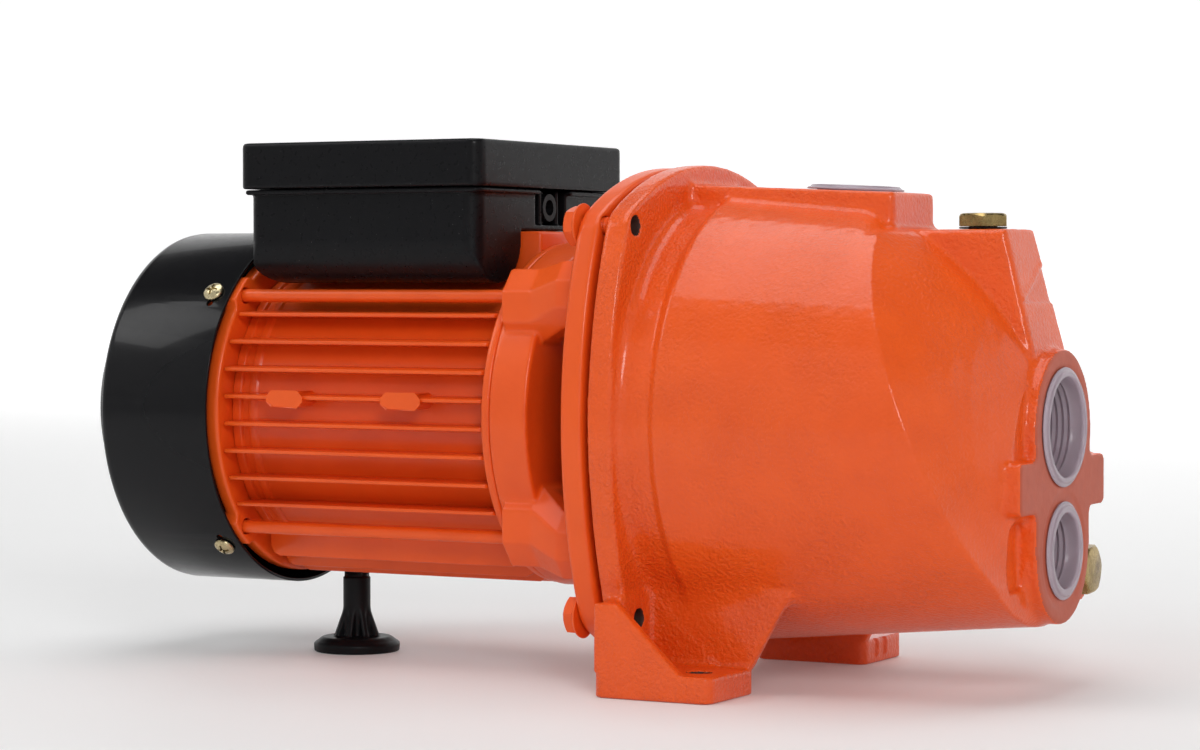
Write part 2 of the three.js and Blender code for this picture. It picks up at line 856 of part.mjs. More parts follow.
// The balls in their cage, as one piece
function ballCage() {
  const ball = solid(new THREE.SphereGeometry(2.9, 6, 4)).translate([5.5, 12.5, 0]);
  return join(
    ring(4.4, 6.6, 11.6, 13.4, 21),
    ...Array.from({ length: BEARING.balls }, (_, i) => ball.rotate([(i * 360) / BEARING.balls, 0, 0])),
  );
}

const waveWasher = () => ring(-191.4, -190.4, 12.5, 17.2, 20);

// Round pad, ribbed stem and a clip that holds it in the fins
function motorFoot() {
  const { x, pad, padTop, stem, rib, top } = MOTOR_FOOT;
  const floor = -SHAFT_HEIGHT;
  const ribShape = [
    [-rib, padTop],
    [rib, padTop],
    [rib, padTop + 3],
    [stem - 0.5, -80],
    [0.5 - stem, -80],
    [-rib, padTop + 3],
  ];
  const post = [
    [floor, 0],
    [floor, pad],
    [padTop, pad],
    [padTop + 1.8, pad - 2.2],
    [padTop + 1.8, stem],
    [-68, stem],
    [-68, 4.6],
    [top, 4.6],
    [top, 0],
  ];
  const ribs = [0, 45, 90, 135].map((turn) => prism("y", ribShape, -1.4, 1.4).rotate([0, 0, turn]));
  const clip = block([-4, 4], [-3.5, 3.5], [-69, -58.5]);
  return join(upright(turned(post, 24), 0, 0), clip, ...ribs).translate([x, 0, 0]);
}

// ---------------------------------------------------------------- terminal box

// Tray with a deep pod along one side for the capacitor
function terminalBoxBase() {
  const { back, front, halfWidth, bottom, top, wall } = TRAY;
  const podShape = (inset) => {
    const radius = (POD.inner - POD.outer) / 2 - inset;
    const middle = (POD.inner + POD.outer) / 2;
    const shape = new THREE.Shape();
    shape.moveTo(middle + radius, bottom + 4);
    shape.lineTo(middle - radius, bottom + 4);
    shape.lineTo(middle - radius, POD.bottom + inset + radius);
    shape.absarc(middle, POD.bottom + inset + radius, radius, Math.PI, Math.PI * 2);
    return shape;
  };
  const { near, far } = GLAND;
  const deep = front - GLAND.depth;
  const recess = block([deep, front + 1], [near, far], [bottom + wall, top + 1]);
  const recessWalls = join(
    block([deep - wall, deep], [near - wall, far + wall], [bottom, top]),
    block([deep - 1, front - wall / 2], [near - wall, near], [bottom, top]),
    block([deep - 1, front - wall / 2], [far, far + wall], [bottom, top]),
  );
  const outside = join(
    prism("z", roundedRectangle(back, front, -halfWidth, halfWidth, 7), bottom, top),
    prism("x", podShape(0), back + FIT, front - FIT),
  );
  const trayInside = roundedRectangle(
    back + wall,
    front - wall,
    -halfWidth + wall,
    halfWidth - wall,
    5,
  );
  return cut(
    join(
      cut(
        outside,
        prism("z", trayInside, bottom + wall, top + 1),
        prism("x", podShape(wall), back + wall + FIT, front - wall - FIT),
        recess,
      ),
      recessWalls,
    ),
    rod(deep - 6, front, GLAND.hole).translate([0, GLAND.y, GLAND.z]),
  );
}

// The lid's screws sit in counterbored pillars, just below its top
function terminalBoxLid() {
  const { back, front, halfWidth, bottom, top, corner, wall } = LID;
  const at = (x0, x1, radius, sides) =>
    lidScrewPlaces().map(([x, y]) => upright(rod(x0, x1, radius, sides), x, y));
  const shell = cut(
    prism("z", roundedRectangle(back, front, -halfWidth, halfWidth, corner), bottom, top),
    prism(
      "z",
      roundedRectangle(
        back + wall,
        front - wall,
        -halfWidth + wall,
        halfWidth - wall,
        corner - wall,
      ),
      bottom - 1,
      top - wall,
    ),
  );
  return cut(
    join(shell, ...at(top - LID_SCREW.pillar, top - 1, LID_SCREW.head + 2.2, 14)),
    ...at(top - LID_SCREW.sink, top + 1, LID_SCREW.head + FIT, 14),
    ...at(top - LID_SCREW.pillar - 1, top, LID_SCREW.shank + FIT, 10),
  );
}

const lidScrewPlaces = () => [
  [LID.back + 12, -LID.halfWidth + 12],
  [LID.front - 12, -LID.halfWidth + 12],
  [LID.back + 12, LID.halfWidth - 12],
  [LID.front - 12, LID.halfWidth - 12],
];

function lidScrew() {
  const { head, shank, pillar, sink } = LID_SCREW;
  const seat = LID.top - sink + FIT;
  const dome = [
    [seat, 0],
    [seat, head],
    [seat + 1, head - 0.5],
    [seat + 1.5, head - 1.8],
    [seat + 1.5, 0],
  ];
  return join(turned(dome, 12), rod(LID.top - pillar - 4, seat + 0.5, shank, 8));
}

function terminalBlock() {
  const { back, pitch, poles } = TERMINALS;
  const post = block([back + 4, back + 10], [4, 22], [75, 84]);
  return join(
    block([back, back + poles * pitch + 3], [0, 26], [73.4, 77]),
    ...Array.from({ length: poles }, (_, i) => post.translate([i * pitch, 0, 0])),
  );
}

function capacitor() {
  const can = [
    [-150, 0],
    [-150, 13],
    [-149, 14],
    [-84, 14],
    [-83, 13],
    [-83, 3.5],
    [-79, 3.5],
    [-79, 0],
  ];
  return turned(can, 20).translate([0, (POD.inner + POD.outer) / 2, POD.bottom + 18]);
}

// Screwed cable entry, with no cable in it
function cableGland() {
  const mouth = TRAY.front - GLAND.depth;
  const body = join(
    rod(mouth + FIT, mouth + 4, 6.4, 6),
    rod(mouth + 3, mouth + 7.6, 5.4),
    rod(mouth - 5, mouth + 2, GLAND.thread),
  );
  const bore = rod(mouth - 6, mouth + 9, GLAND.mouth, 12);
  return cut(body, bore).translate([0, GLAND.y, GLAND.z]);
}

// ---------------------------------------------------------------- materials

const finish = (color, roughness, metalness = 0) =>
  new THREE.MeshStandardMaterial({ color, roughness, metalness });

const castPaint = finish(0xe8541f, 0.35);
const motorPaint = finish(0xe04a1c, 0.3);
const blackSheet = finish(0x0b0b0c, 0.18);
const blackPlastic = finish(0x141416, 0.35);
const brass = finish(0xb59a55, 0.3, 0.9);
const steel = finish(0xb4b6b8, 0.3, 1);
const zinc = finish(0xc8b069, 0.3, 0.9);
const milkPlastic = finish(0xc9bfc9, 0.3);
const rubber = finish(0x202020, 0.8);
const lamination = finish(0x60646a, 0.5, 0.8);
const copper = finish(0xa85a32, 0.4, 0.7);
const ceramic = finish(0xe6e2d8, 0.4);
const greyPlastic = finish(0x2b2b30, 0.45);

// ---------------------------------------------------------------- assembly

function piece(name, shape, material) {
  const { vertProperties, triVerts } = shape.getMesh();
  const geometry = new THREE.BufferGeometry();
  geometry.setAttribute("position", new THREE.BufferAttribute(vertProperties, 3));
  geometry.setIndex(new THREE.BufferAttribute(triVerts, 1));
  const mesh = new THREE.Mesh(geometry, material);
  mesh.name = name;
  return mesh;
}

const pump = new THREE.Group();
pump.position.set(-MIDDLE_X, 0, SHAFT_HEIGHT);

const pumpEnd = new THREE.Group();
pumpEnd.add(
  piece("pump_casing", pumpCasing(), castPaint),
  piece("casing_gasket", casingGasket(), rubber),
  piece("diffuser", diffuser(), greyPlastic),
  piece("seal_seat", sealSeat(), ceramic),
);
CORNERS.forEach(([y, z], i) => {
  const bolt = piece(`flange_bolt_${i + 1}`, flangeBolt(), motorPaint);
  bolt.position.set(0, y * BOLT.y, z * BOLT.z);
  pumpEnd.add(bolt);
});

// A plug or cap is drawn along X from its own seat, and stands up where its port faces up.
function seated(name, shape, material, place, faces = "x") {
  const mesh = piece(name, shape, material);
  mesh.position.set(...place);
  if (faces === "z") mesh.rotation.y = -Math.PI / 2;
  return mesh;
}

const drainSeat = [DRAIN.seat, DRAIN.y, DRAIN.z];
const primingSeat = [PRIMING.x, 0, PRIMING.top];
const suctionSeat = [PORT_PLATE.face - SPOT_FACE.depth, 0, SUCTION.z];
const pressureSeat = [PORT_PLATE.face - SPOT_FACE.depth, 0, PRESSURE.z];
const dischargeSeat = [DISCHARGE.x, 0, DISCHARGE.top - SPOT_FACE.depth];
const suctionCap = portCap(SUCTION.bore, CAP.suctionRim);
const pressureCap = portCap(PRESSURE.bore, CAP.pressureRim);
pumpEnd.add(
  seated("drain_plug", hexPlug(), brass, drainSeat),
  seated("drain_plug_washer", plugWasher(), rubber, drainSeat),
  seated("priming_plug", hexPlug(), brass, primingSeat, "z"),
  seated("priming_plug_washer", plugWasher(), rubber, primingSeat, "z"),
  seated("suction_cap", suctionCap, milkPlastic, suctionSeat),
  seated("pressure_cap", pressureCap, milkPlastic, pressureSeat),
  seated("discharge_cap", pressureCap, milkPlastic, dischargeSeat, "z"),
);

const motor = new THREE.Group();
motor.add(
  piece("motor_bracket", motorBracket(), motorPaint),
  piece("stator_housing", statorHousing(), motorPaint),
  piece("stator_core", statorCore(), lamination),
  piece("winding_rear", winding(-163, STACK.back - FIT), copper),
  piece("winding_front", winding(STACK.front + FIT, -61), copper),
  piece("rear_end_shield", rearEndShield(), motorPaint),
  piece("wave_washer", waveWasher(), steel),
  piece("fan_cover", fanCover(), blackSheet),
  piece("motor_foot", motorFoot(), blackPlastic),
  piece("terminal_box_base", terminalBoxBase(), blackPlastic),
  piece("terminal_box_lid", terminalBoxLid(), blackPlastic),
  piece("terminal_block", terminalBlock(), ceramic),
  piece("capacitor", capacitor(), steel),
  piece("cable_gland", cableGland(), blackPlastic),
);
CORNERS.forEach(([y, z], i) => {
  const tie = piece(`tie_rod_${i + 1}`, tieRod(), motorPaint);
  tie.position.set(0, y * TIE_ROD.y, z * TIE_ROD.z);
  const screw = atCoverScrew(coverScrew(), [y, z]);
  motor.add(tie, piece(`fan_cover_screw_${i + 1}`, screw, zinc));
});
lidScrewPlaces().forEach(([x, y], i) => {
  motor.add(piece(`lid_screw_${i + 1}`, upright(lidScrew(), x, y), zinc));
});

const rotor = new THREE.Group();
rotor.add(
  piece("shaft", shaft(), steel),
  piece("rotor_core", rotorCore(), lamination),
  piece("cooling_fan", coolingFan(), blackPlastic),
  piece("slinger", slinger(), rubber),
  piece("seal_head", sealHead(), rubber),
  piece("impeller", impeller(), brass),
  piece("impeller_nut", impellerNut(), brass),
);

for (const [place, x] of [["rear", BEARING.rearX], ["front", BEARING.frontX]]) {
  const bearing = new THREE.Group();
  bearing.position.x = x;
  bearing.add(
    piece(`${place}_bearing_outer`, bearingOuter(), steel),
    piece(`${place}_bearing_inner`, bearingInner(), steel),
    piece(`${place}_bearing_balls`, ballCage(), steel),
  );
  motor.add(bearing);
}

pump.add(pumpEnd, motor, rotor);

export default pump;
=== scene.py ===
"""Looks of the centrifugal water pump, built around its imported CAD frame.

Everything is drawn in millimetres from the shaft axis, in the plane where the casing meets the
motor bracket, with X along the shaft towards the ports. That point's place comes from the frame.
Cast parts are signed distance fields, blended with fillets and then turned into meshes. Turned
and pressed parts are lathed or extruded outlines.
"""

import json
import math
from functools import reduce
from types import SimpleNamespace as Sizes

import bmesh
import bpy
import numpy as np
import openvdb
from mathutils import Matrix, Vector

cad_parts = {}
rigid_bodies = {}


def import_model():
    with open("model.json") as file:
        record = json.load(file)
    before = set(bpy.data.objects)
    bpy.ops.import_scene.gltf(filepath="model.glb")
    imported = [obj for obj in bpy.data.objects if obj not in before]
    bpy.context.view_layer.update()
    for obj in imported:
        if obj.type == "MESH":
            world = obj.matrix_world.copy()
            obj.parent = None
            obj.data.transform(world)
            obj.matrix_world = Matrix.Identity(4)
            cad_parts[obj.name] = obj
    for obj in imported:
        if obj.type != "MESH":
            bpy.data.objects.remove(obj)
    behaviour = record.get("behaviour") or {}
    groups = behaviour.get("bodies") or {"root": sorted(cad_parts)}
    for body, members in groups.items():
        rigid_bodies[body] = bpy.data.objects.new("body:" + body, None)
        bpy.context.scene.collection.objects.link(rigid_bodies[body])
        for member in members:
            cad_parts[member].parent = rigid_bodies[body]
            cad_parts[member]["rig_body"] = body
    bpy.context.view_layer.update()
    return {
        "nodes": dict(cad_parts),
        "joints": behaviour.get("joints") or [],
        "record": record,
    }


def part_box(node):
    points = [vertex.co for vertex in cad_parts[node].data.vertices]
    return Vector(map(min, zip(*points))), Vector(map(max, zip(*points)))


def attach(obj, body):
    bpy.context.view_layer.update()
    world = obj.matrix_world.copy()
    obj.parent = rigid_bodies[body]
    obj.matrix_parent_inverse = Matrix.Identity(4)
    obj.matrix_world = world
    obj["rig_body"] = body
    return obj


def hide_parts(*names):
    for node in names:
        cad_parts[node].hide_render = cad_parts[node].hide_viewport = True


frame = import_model()

MM = 0.001
SPIN = next(j for j in frame["joints"] if j["name"] == "rotor_spin")
SEAM_GAP = 0.5  # the bracket's flange stops this far short of the seam
ORIGIN = Vector((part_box("motor_bracket")[1].x / MM + SEAM_GAP, 0, SPIN["pos_m"][2] / MM))
FLOOR = -ORIGIN.z
CORNERS = ((-1, 1), (1, 1), (-1, -1), (1, -1))
FINE = 0.8  # grid step of the large castings
AXIS = 0.01  # the radius at which a turned outline meets its axis


# ---------------------------------------------------------------- the frame's own measures


def span(node):
    """The lowest and highest corner of a CAD node, in drawing millimetres."""
    low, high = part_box(node)
    return low / MM - ORIGIN, high / MM - ORIGIN


def body_of(node):
    return frame["nodes"][node]["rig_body"]


# ---------------------------------------------------------------- distance fields


def smooth_min(a, b, k):
    """Union with a fillet about k wide."""
    h = np.maximum(k - np.abs(a - b), 0) / k
    return np.minimum(a, b) - h * h * k * 0.25


def smooth_max(a, b, k):
    """Intersection with its edge rounded about k wide."""
    return -smooth_min(-a, -b, k)


def cut(a, b, k=0.6):
    """a with b taken away."""
    return smooth_max(a, -b, k)


def both(*parts):
    """The space that is in every part, with crisp edges."""
    return reduce(np.maximum, parts)


def either(*parts):
    """The space that is in any part."""
    return reduce(np.minimum, parts)


def slab(t, low, high):
    return both(low - t, t - high)


def circle(a, b, radius):
    return np.sqrt(a * a + b * b) - radius


def corners(f, place, radius):
    """Four circles round the shaft, at plus and minus a place's y and z."""
    return circle(np.abs(f.y) - place.y, np.abs(f.z) - place.z, radius)


def rectangle(a, b, half_a, half_b, corner):
    qa = np.abs(a) - half_a + corner
    qb = np.abs(b) - half_b + corner
    outside = np.sqrt(np.maximum(qa, 0) ** 2 + np.maximum(qb, 0) ** 2)
    return outside + np.minimum(np.maximum(qa, qb), 0) - corner


def polygon(a, b, points):
    """Distance to any closed outline of (a, b) corners."""
    a, b = np.broadcast_arrays(a, b)
    best = np.full(a.shape, 1e9, np.float32)
    inside = np.zeros(a.shape, bool)
    for (ax, ay), (bx, by) in zip(points, points[1:] + points[:1]):
        ex, ey = bx - ax, by - ay
        wx, wy = a - ax, b - ay
        t = np.clip((wx * ex + wy * ey) / (ex * ex + ey * ey), 0, 1)
        best = np.minimum(best, (wx - ex * t) ** 2 + (wy - ey * t) ** 2)
        crosses = (ay > b) != (by > b)
        if ey:
            inside ^= crosses & (a < ax + ex * (b - ay) / ey)
    return np.where(inside, -1, 1) * np.sqrt(best)


class Field:
    """A block of space on a regular grid that holds signed distances in millimetres."""

    def __init__(self, low, high, step):
        margin = 3 * step
        self.step = step
        self.low = np.array(low, float) - margin
        counts = np.ceil((np.array(high) + margin - self.low) / step).astype(int) + 1
        axes = [self.low[i] + step * np.arange(counts[i]) for i in range(3)]
        x, y, z = (a.astype(np.float32) for a in axes)
        self.x, self.y, self.z = x[:, None, None], y[None, :, None], z[None, None, :]
        self.shape = tuple(counts)

    def solid(self, points, faces, reach=12):
        """The distance to a closed mesh, true to within reach millimetres of its surface."""
        level = openvdb.FloatGrid.createLevelSetFromPolygons(
            (np.array(points, float) - self.low).astype(np.float32),
            quads=np.array(faces, np.uint32),
            transform=openvdb.createLinearTransform(self.step),
            halfWidth=reach / self.step,
        )
        out = np.zeros(self.shape, np.float32)
        level.copyToArray(out)
        return out

    def mesh(self, name, distance):
        """The zero surface as an object."""
        full = np.array(np.broadcast_to(distance, self.shape), np.float32, order="C")
        grid = openvdb.FloatGrid(4 * self.step)
        grid.copyFromArray(full)
        grid.transform = openvdb.createLinearTransform(self.step)
        points, quads = grid.convertToQuads(0.0)
        points = points.astype(np.float64) + self.low
        return new_object(name, points, quads)


# ---------------------------------------------------------------- meshes


def linked(name, data):
    """A new object in the scene for a mesh, light or camera."""
    obj = bpy.data.objects.new(name, data)
    bpy.context.scene.collection.objects.link(obj)
    return obj


def new_object(name, points, faces):
    """An object with smooth faces that point outwards, from drawing millimetres."""
    points = (np.array(points, float) + np.array(ORIGIN)) * MM
    faces = np.array(faces, np.int32)
    corners = [points[faces[:, i]] for i in range(faces.shape[1])]
    volume = np.einsum("ij,ij->i", corners[0], np.cross(corners[1], corners[2])).sum()
    if volume < 0:
        faces = faces[:, ::-1]
    size = faces.shape[1]
    mesh = bpy.data.meshes.new(name)
    mesh.vertices.add(len(points))
    mesh.vertices.foreach_set("co", points.astype(np.float32).ravel())
    mesh.loops.add(faces.size)
    mesh.polygons.add(len(faces))
    mesh.polygons.foreach_set("loop_start", np.arange(0, faces.size, size, dtype=np.int32))
    mesh.loops.foreach_set("vertex_index", np.ascontiguousarray(faces).ravel())
    mesh.polygons.foreach_set("use_smooth", np.ones(len(faces), bool))
    mesh.update(calc_edges=True)
    return linked(name, mesh)


def loft(rings, closed=False):
    """Points and quads of a skin through rings with the same count, closed by a fan at each end."""
    count = len(rings[0])
    points = [tuple(p) for ring in rings for p in ring]
    faces = []
    last = len(rings) if closed else len(rings) - 1
    for r in range(last):
        for i in range(count):
            j = (i + 1) % count
            nxt = (r + 1) % len(rings)
            faces.append((r * count + i, nxt * count + i, nxt * count + j, r * count + j))
    if not closed:
        for r in (0, len(rings) - 1):
            middle = tuple(np.mean(np.array(rings[r], float), axis=0))
            points.append(middle)
            centre = len(points) - 1
            for i in range(0, count, 2):
                a, b, c = (r * count + (i + n) % count for n in range(3))
                faces.append((centre, a, b, c) if r else (centre, c, b, a))
    return points, faces


def turned(profile, segments=96):
    """Points and quads of a solid of revolution about X; the profile closes on itself."""
    rings = []
    for i in range(segments):
        turn = 2 * math.pi * i / segments
        rings.append([(x, r * math.cos(turn), r * math.sin(turn)) for x, r in profile])
    return loft(rings, closed=True)


def tidy(obj, sharp=35):
    """Welds doubled points, points every face outwards and keeps edges over an angle crisp."""
    merge = 1e-6
    bm = bmesh.new()
    bm.from_mesh(obj.data)
    bmesh.ops.remove_doubles(bm, verts=bm.verts, dist=merge)
    bmesh.ops.dissolve_degenerate(bm, edges=bm.edges, dist=merge)
    bmesh.ops.recalc_face_normals(bm, faces=bm.faces)
    bm.to_mesh(obj.data)
    bm.free()
    obj.data.shade_smooth()
    obj.data.set_sharp_from_angle(angle=math.radians(sharp))
    return obj


def round_profile(points):
    """An outline of (x, r) corners, with each (x, r, size) one rounded over that size."""
    out = []
    count = len(points)
    steps = 4
    for i, (x, r, *soft) in enumerate(points):
        if not soft:
            out.append((x, r))
            continue
        here = Vector((x, r))
        before = Vector(points[i - 1][:2]) - here
        after = Vector(points[(i + 1) % count][:2]) - here
        reach = min(soft[0], before.length * 0.49, after.length * 0.49)
        a = here + before.normalized() * reach
        b = here + after.normalized() * reach
        for n in range(steps + 1):
            t = n / steps
            p = a * (1 - t) ** 2 + here * 2 * t * (1 - t) + b * t * t
            out.append((p.x, p.y))
    return out


def lathe(name, profile, segments=96, sharp=35):
    return tidy(new_object(name, *turned(round_profile(profile), segments)), sharp)


def thread(start, end, pitch, root, crest, segments=32):
    """A run of rings along X that reads as a screw thread."""
    profile = [(start, AXIS), (start, root)]
    turns = int((end - start) / pitch)
    for i in range(turns):
        x = start + (i + 0.5) * pitch
        profile += [(x, root), (x + pitch / 2, crest)]
    profile += [(end, root), (end, AXIS)]
    return lathe("thread", profile, segments)


def modified(obj, *modifiers):
    """The object with its modifiers made real, in order. Each is (kind, {setting: value})."""
    for kind, settings in modifiers:
        modifier = obj.modifiers.new(kind, kind)
        for key, value in settings.items():
            setattr(modifier, key, value)
    graph = bpy.context.evaluated_depsgraph_get()
    mesh = bpy.data.meshes.new_from_object(obj.evaluated_get(graph))
    obj.modifiers.clear()
    obj.data = mesh
    return obj


def bevel(width, segments=3):
    return "BEVEL", {
        "width": width * MM,
        "segments": segments,
        "limit_method": "ANGLE",
        "angle_limit": math.radians(30),
    }


def without(obj, *cutters):
    """obj with the cutters' space taken away; the cutters are used up."""
    for cutter in cutters:
        modified(obj, ("BOOLEAN", {"operation": "DIFFERENCE", "object": cutter, "solver": "EXACT"}))
        bpy.data.objects.remove(cutter)
    return obj


def joined(name, objects):
    """Several objects as one."""
    bm = bmesh.new()
    for obj in objects:
        bm.from_mesh(obj.data)
        bpy.data.objects.remove(obj)
    mesh = bpy.data.meshes.new(name)
    bm.to_mesh(mesh)
    bm.free()
    return linked(name, mesh)


def box(name, low, high):
    (x0, y0, z0), (x1, y1, z1) = low, high
    rings = [[(x, y0, z0), (x, y1, z0), (x, y1, z1), (x, y0, z1)] for x in (x0, x1)]
    points = rings[0] + rings[1]
    faces = [(3, 2, 1, 0), (4, 5, 6, 7), (0, 1, 5, 4), (1, 2, 6, 5), (2, 3, 7, 6), (3, 0, 4, 7)]
    return new_object(name, points, faces)


def moved(obj, matrix):
    """The object's mesh after a transform about the drawing's origin."""
    shift = Matrix.Translation(ORIGIN * MM)
    obj.data.transform(shift @ matrix @ shift.inverted())
    return obj


def shifted(x=0, y=0, z=0):
    return Matrix.Translation(Vector((x, y, z)) * MM)


UPRIGHT = Matrix.Rotation(-math.pi / 2, 4, "Y")


# ---------------------------------------------------------------- materials


class Paint:
    """A small helper that wires one node material."""

    def __init__(self, name):
        self.material = bpy.data.materials.new(name)
        self.material.use_nodes = True
        self.nodes = self.material.node_tree.nodes
        self.links = self.material.node_tree.links
        self.shader = self.nodes["Principled BSDF"]
        self.place = self.nodes.new("ShaderNodeTexCoord").outputs["Object"]

    def node(self, kind, **inputs):
        made = self.nodes.new("ShaderNode" + kind)
        for key, value in inputs.items():
            label = key.replace("_", " ")
            if label in made.inputs:
                self.feed(made.inputs[label], value)
            else:
                setattr(made, key, value)
        return made

    def feed(self, socket, value):
        if isinstance(value, bpy.types.NodeSocket):
            self.links.new(value, socket)
        else:
            socket.default_value = value

    def set(self, **inputs):
        for key, value in inputs.items():
            self.feed(self.shader.inputs[key.replace("_", " ")], value)
        return self

    def noise(self, scale, detail=3.0, roughness=0.5):
        return self.node(
            "TexNoise", Vector=self.place, Scale=scale, Detail=detail, Roughness=roughness
        ).outputs["Fac"]

    def ramp(self, value, low, high, to_low=0.0, to_high=1.0):
        made = self.node("MapRange", Value=value)
        made.inputs["From Min"].default_value = low
        made.inputs["From Max"].default_value = high
        made.inputs["To Min"].default_value = to_low
        made.inputs["To Max"].default_value = to_high
        return made.outputs["Result"]

    def mix(self, factor, first, second):
        made = self.nodes.new("ShaderNodeMix")
        made.data_type = "RGBA"
        self.feed(made.inputs["Factor"], factor)
        self.feed(made.inputs["A"], first)
        self.feed(made.inputs["B"], second)
        return made.outputs["Result"]

    def math(self, operation, a, b=0.0):
        made = self.nodes.new("ShaderNodeMath")
        made.operation = operation
        self.feed(made.inputs[0], a)
        self.feed(made.inputs[1], b)
        return made.outputs["Value"]

    def length(self, a, b):
        """The square root of a² + b²."""
        return self.math("SQRT", self.math("ADD", self.math("POWER", a, 2), self.math("POWER", b, 2)))

    def bump(self, height, distance):
        """Adds a layer of relief, at most a distance in millimetres deep, over those before it."""
        made = self.node("Bump", Height=height, Distance=distance * MM, Strength=1.0)
        if self.shader.inputs["Normal"].is_linked:
            self.feed(made.inputs["Normal"], self.shader.inputs["Normal"].links[0].from_socket)
        self.feed(self.shader.inputs["Normal"], made.outputs["Normal"])
        return self


def rgb(red, green, blue):
    return (red, green, blue, 1.0)


ORANGE = rgb(0.86, 0.105, 0.009)
DEEP_ORANGE = rgb(0.81, 0.094, 0.008)
BLACK = rgb(0.006, 0.006, 0.007)
# Painted shade: a dark brown that stands in for the shade deep in the bracket's window, and the span
# where it is painted.
PAINTED_SHADE_BROWN = rgb(0.05, 0.008, 0.003)
PAINTED_SHADE_WINDOW = Sizes(back=-31, front=-26, radius=53, edge=57)  # where the bracket darkens


def cast_paint():
    """Thick gloss paint over rough iron: pitted and lumpy, with sparkle where the bumps catch light."""
    p = Paint("casing_paint")
    lumps = p.noise(720, 2.0, 0.5)
    patches = p.ramp(p.noise(28, 2.0), 0.42, 0.62)
    grain = p.math("MULTIPLY", p.ramp(lumps, 0.36, 0.7), p.ramp(patches, 0, 1, 0.45, 1.0))
    p.set(
        Base_Color=p.mix(p.ramp(p.noise(60), 0.35, 0.7), ORANGE, DEEP_ORANGE),
        Roughness=p.ramp(p.noise(900, 2.0), 0.3, 0.7, 0.34, 0.5), Specular_IOR_Level=0.2,
        Coat_Weight=0.5, Coat_Roughness=0.14,
    )
    p.bump(p.noise(150, 2.0), 0.16)
    return p.bump(grain, 0.42).material


def smooth_paint(name="motor_paint", hollow=False):
    """The same paint over die-cast aluminium, much smoother. A hollow one gets painted shade: its
    colour darkens to brown deep in its window, where shade falls.
    """
    p = Paint(name)
    color = p.mix(p.ramp(p.noise(40), 0.4, 0.65), ORANGE, DEEP_ORANGE)
    if hollow:
        # Painted shade: blend to the dark brown by depth along x and by radius inside the window.
        place = p.node("SeparateXYZ", Vector=p.place).outputs
        shade = PAINTED_SHADE_WINDOW
        start, end = (ORIGIN.x + shade.back) * MM, (ORIGIN.x + shade.front) * MM
        radius = p.length(place["Y"], p.math("SUBTRACT", place["Z"], ORIGIN.z * MM))
        within = p.ramp(radius, shade.edge * MM, shade.radius * MM)
        color = p.mix(p.math("MULTIPLY", p.ramp(place["X"], start, end), within), color, PAINTED_SHADE_BROWN)
    p.set(
        Base_Color=color, Roughness=p.ramp(p.noise(700), 0.3, 0.7, 0.34, 0.46),
        Specular_IOR_Level=0.3, Coat_Weight=0.25, Coat_Roughness=0.14,
    )
    p.bump(p.noise(55, 2.0), 0.12)
    return p.bump(p.noise(600, 2.0), 0.05).material


def face_paint():
    """Thin paint on a milled face: flatter, browner and matte, with faint turning marks."""
    p = Paint("face_paint")
    p.set(
        Base_Color=p.mix(p.noise(260, 4.0), rgb(0.56, 0.115, 0.06), rgb(0.46, 0.09, 0.048)),
        Roughness=0.5, Specular_IOR_Level=0.25,
    )
    return p.bump(p.noise(900, 2.0), 0.05).material


def black_enamel():
    p = Paint("black_paint")
    p.set(
        Base_Color=BLACK, Roughness=p.ramp(p.noise(420), 0.3, 0.7, 0.2, 0.26),
        Specular_IOR_Level=0.12, Coat_Weight=0.16, Coat_Roughness=0.06,
    )
    return p.bump(p.noise(260, 3.0), 0.012).material


def moulded(name, color, rough, speck=0.35):
    """Moulded plastic with a fine skin texture and a few dust specks."""
    p = Paint(name)
    dust = p.ramp(p.noise(2400, 0.0), 0.87, 0.89)
    p.set(
        Base_Color=p.mix(dust, color, rgb(speck, speck, speck)),
        Roughness=p.ramp(p.noise(500), 0.3, 0.7, rough - 0.05, rough + 0.08),
        Specular_IOR_Level=0.14,
    )
    p.bump(p.noise(1800, 2.0), 0.008)
    return p.bump(p.noise(35, 1.0), 0.05).material


def metal(name, color, dark, rough, scale=900, depth=0.03, metallic=1.0):
    """Bare or plated metal with handling marks and slightly darker patches."""
    p = Paint(name)
    p.set(
        Base_Color=p.mix(p.ramp(p.noise(130, 4.0, 0.6), 0.4, 0.68), color, dark), Metallic=metallic,
        Roughness=p.ramp(p.noise(scale, 3.0), 0.3, 0.7, rough - 0.06, rough + 0.12),
    )
    return p.bump(p.noise(scale, 3.0), depth).material


def milky():
    """Cloudy transit-cap plastic that lets the thread behind it show a little."""
    p = Paint("milky_plastic")
    p.set(
        Base_Color=p.mix(p.noise(60), rgb(0.7, 0.59, 0.66), rgb(0.58, 0.47, 0.54)), Roughness=0.26,
        Transmission_Weight=0.5, IOR=1.4,
    )
    return p.bump(p.noise(60, 1.0), 0.02).material


def laminated():
    """Edges of stacked sheet steel across the shaft."""
    p = Paint("lamination")
    along = p.node("SeparateXYZ", Vector=p.place).outputs["X"]
    sheets = p.math("PINGPONG", along, 0.0005)
    lines = p.ramp(sheets, 0.0, 0.0005)
    p.set(
        Base_Color=p.mix(lines, rgb(0.05, 0.052, 0.055), rgb(0.22, 0.23, 0.24)), Metallic=0.85,
        Roughness=0.45,
    )
    return p.bump(lines, 0.15).material


def wound():
    """Varnished copper wire, laid round the coil heads."""
    p = Paint("copper")
    wires = p.node("TexWave", Vector=p.place, Scale=420.0, Distortion=3.0).outputs["Fac"]
    p.set(
        Base_Color=p.mix(wires, rgb(0.16, 0.035, 0.012), rgb(0.62, 0.2, 0.06)), Metallic=0.7,
        Roughness=0.35,
    )
    return p.bump(wires, 0.3).material


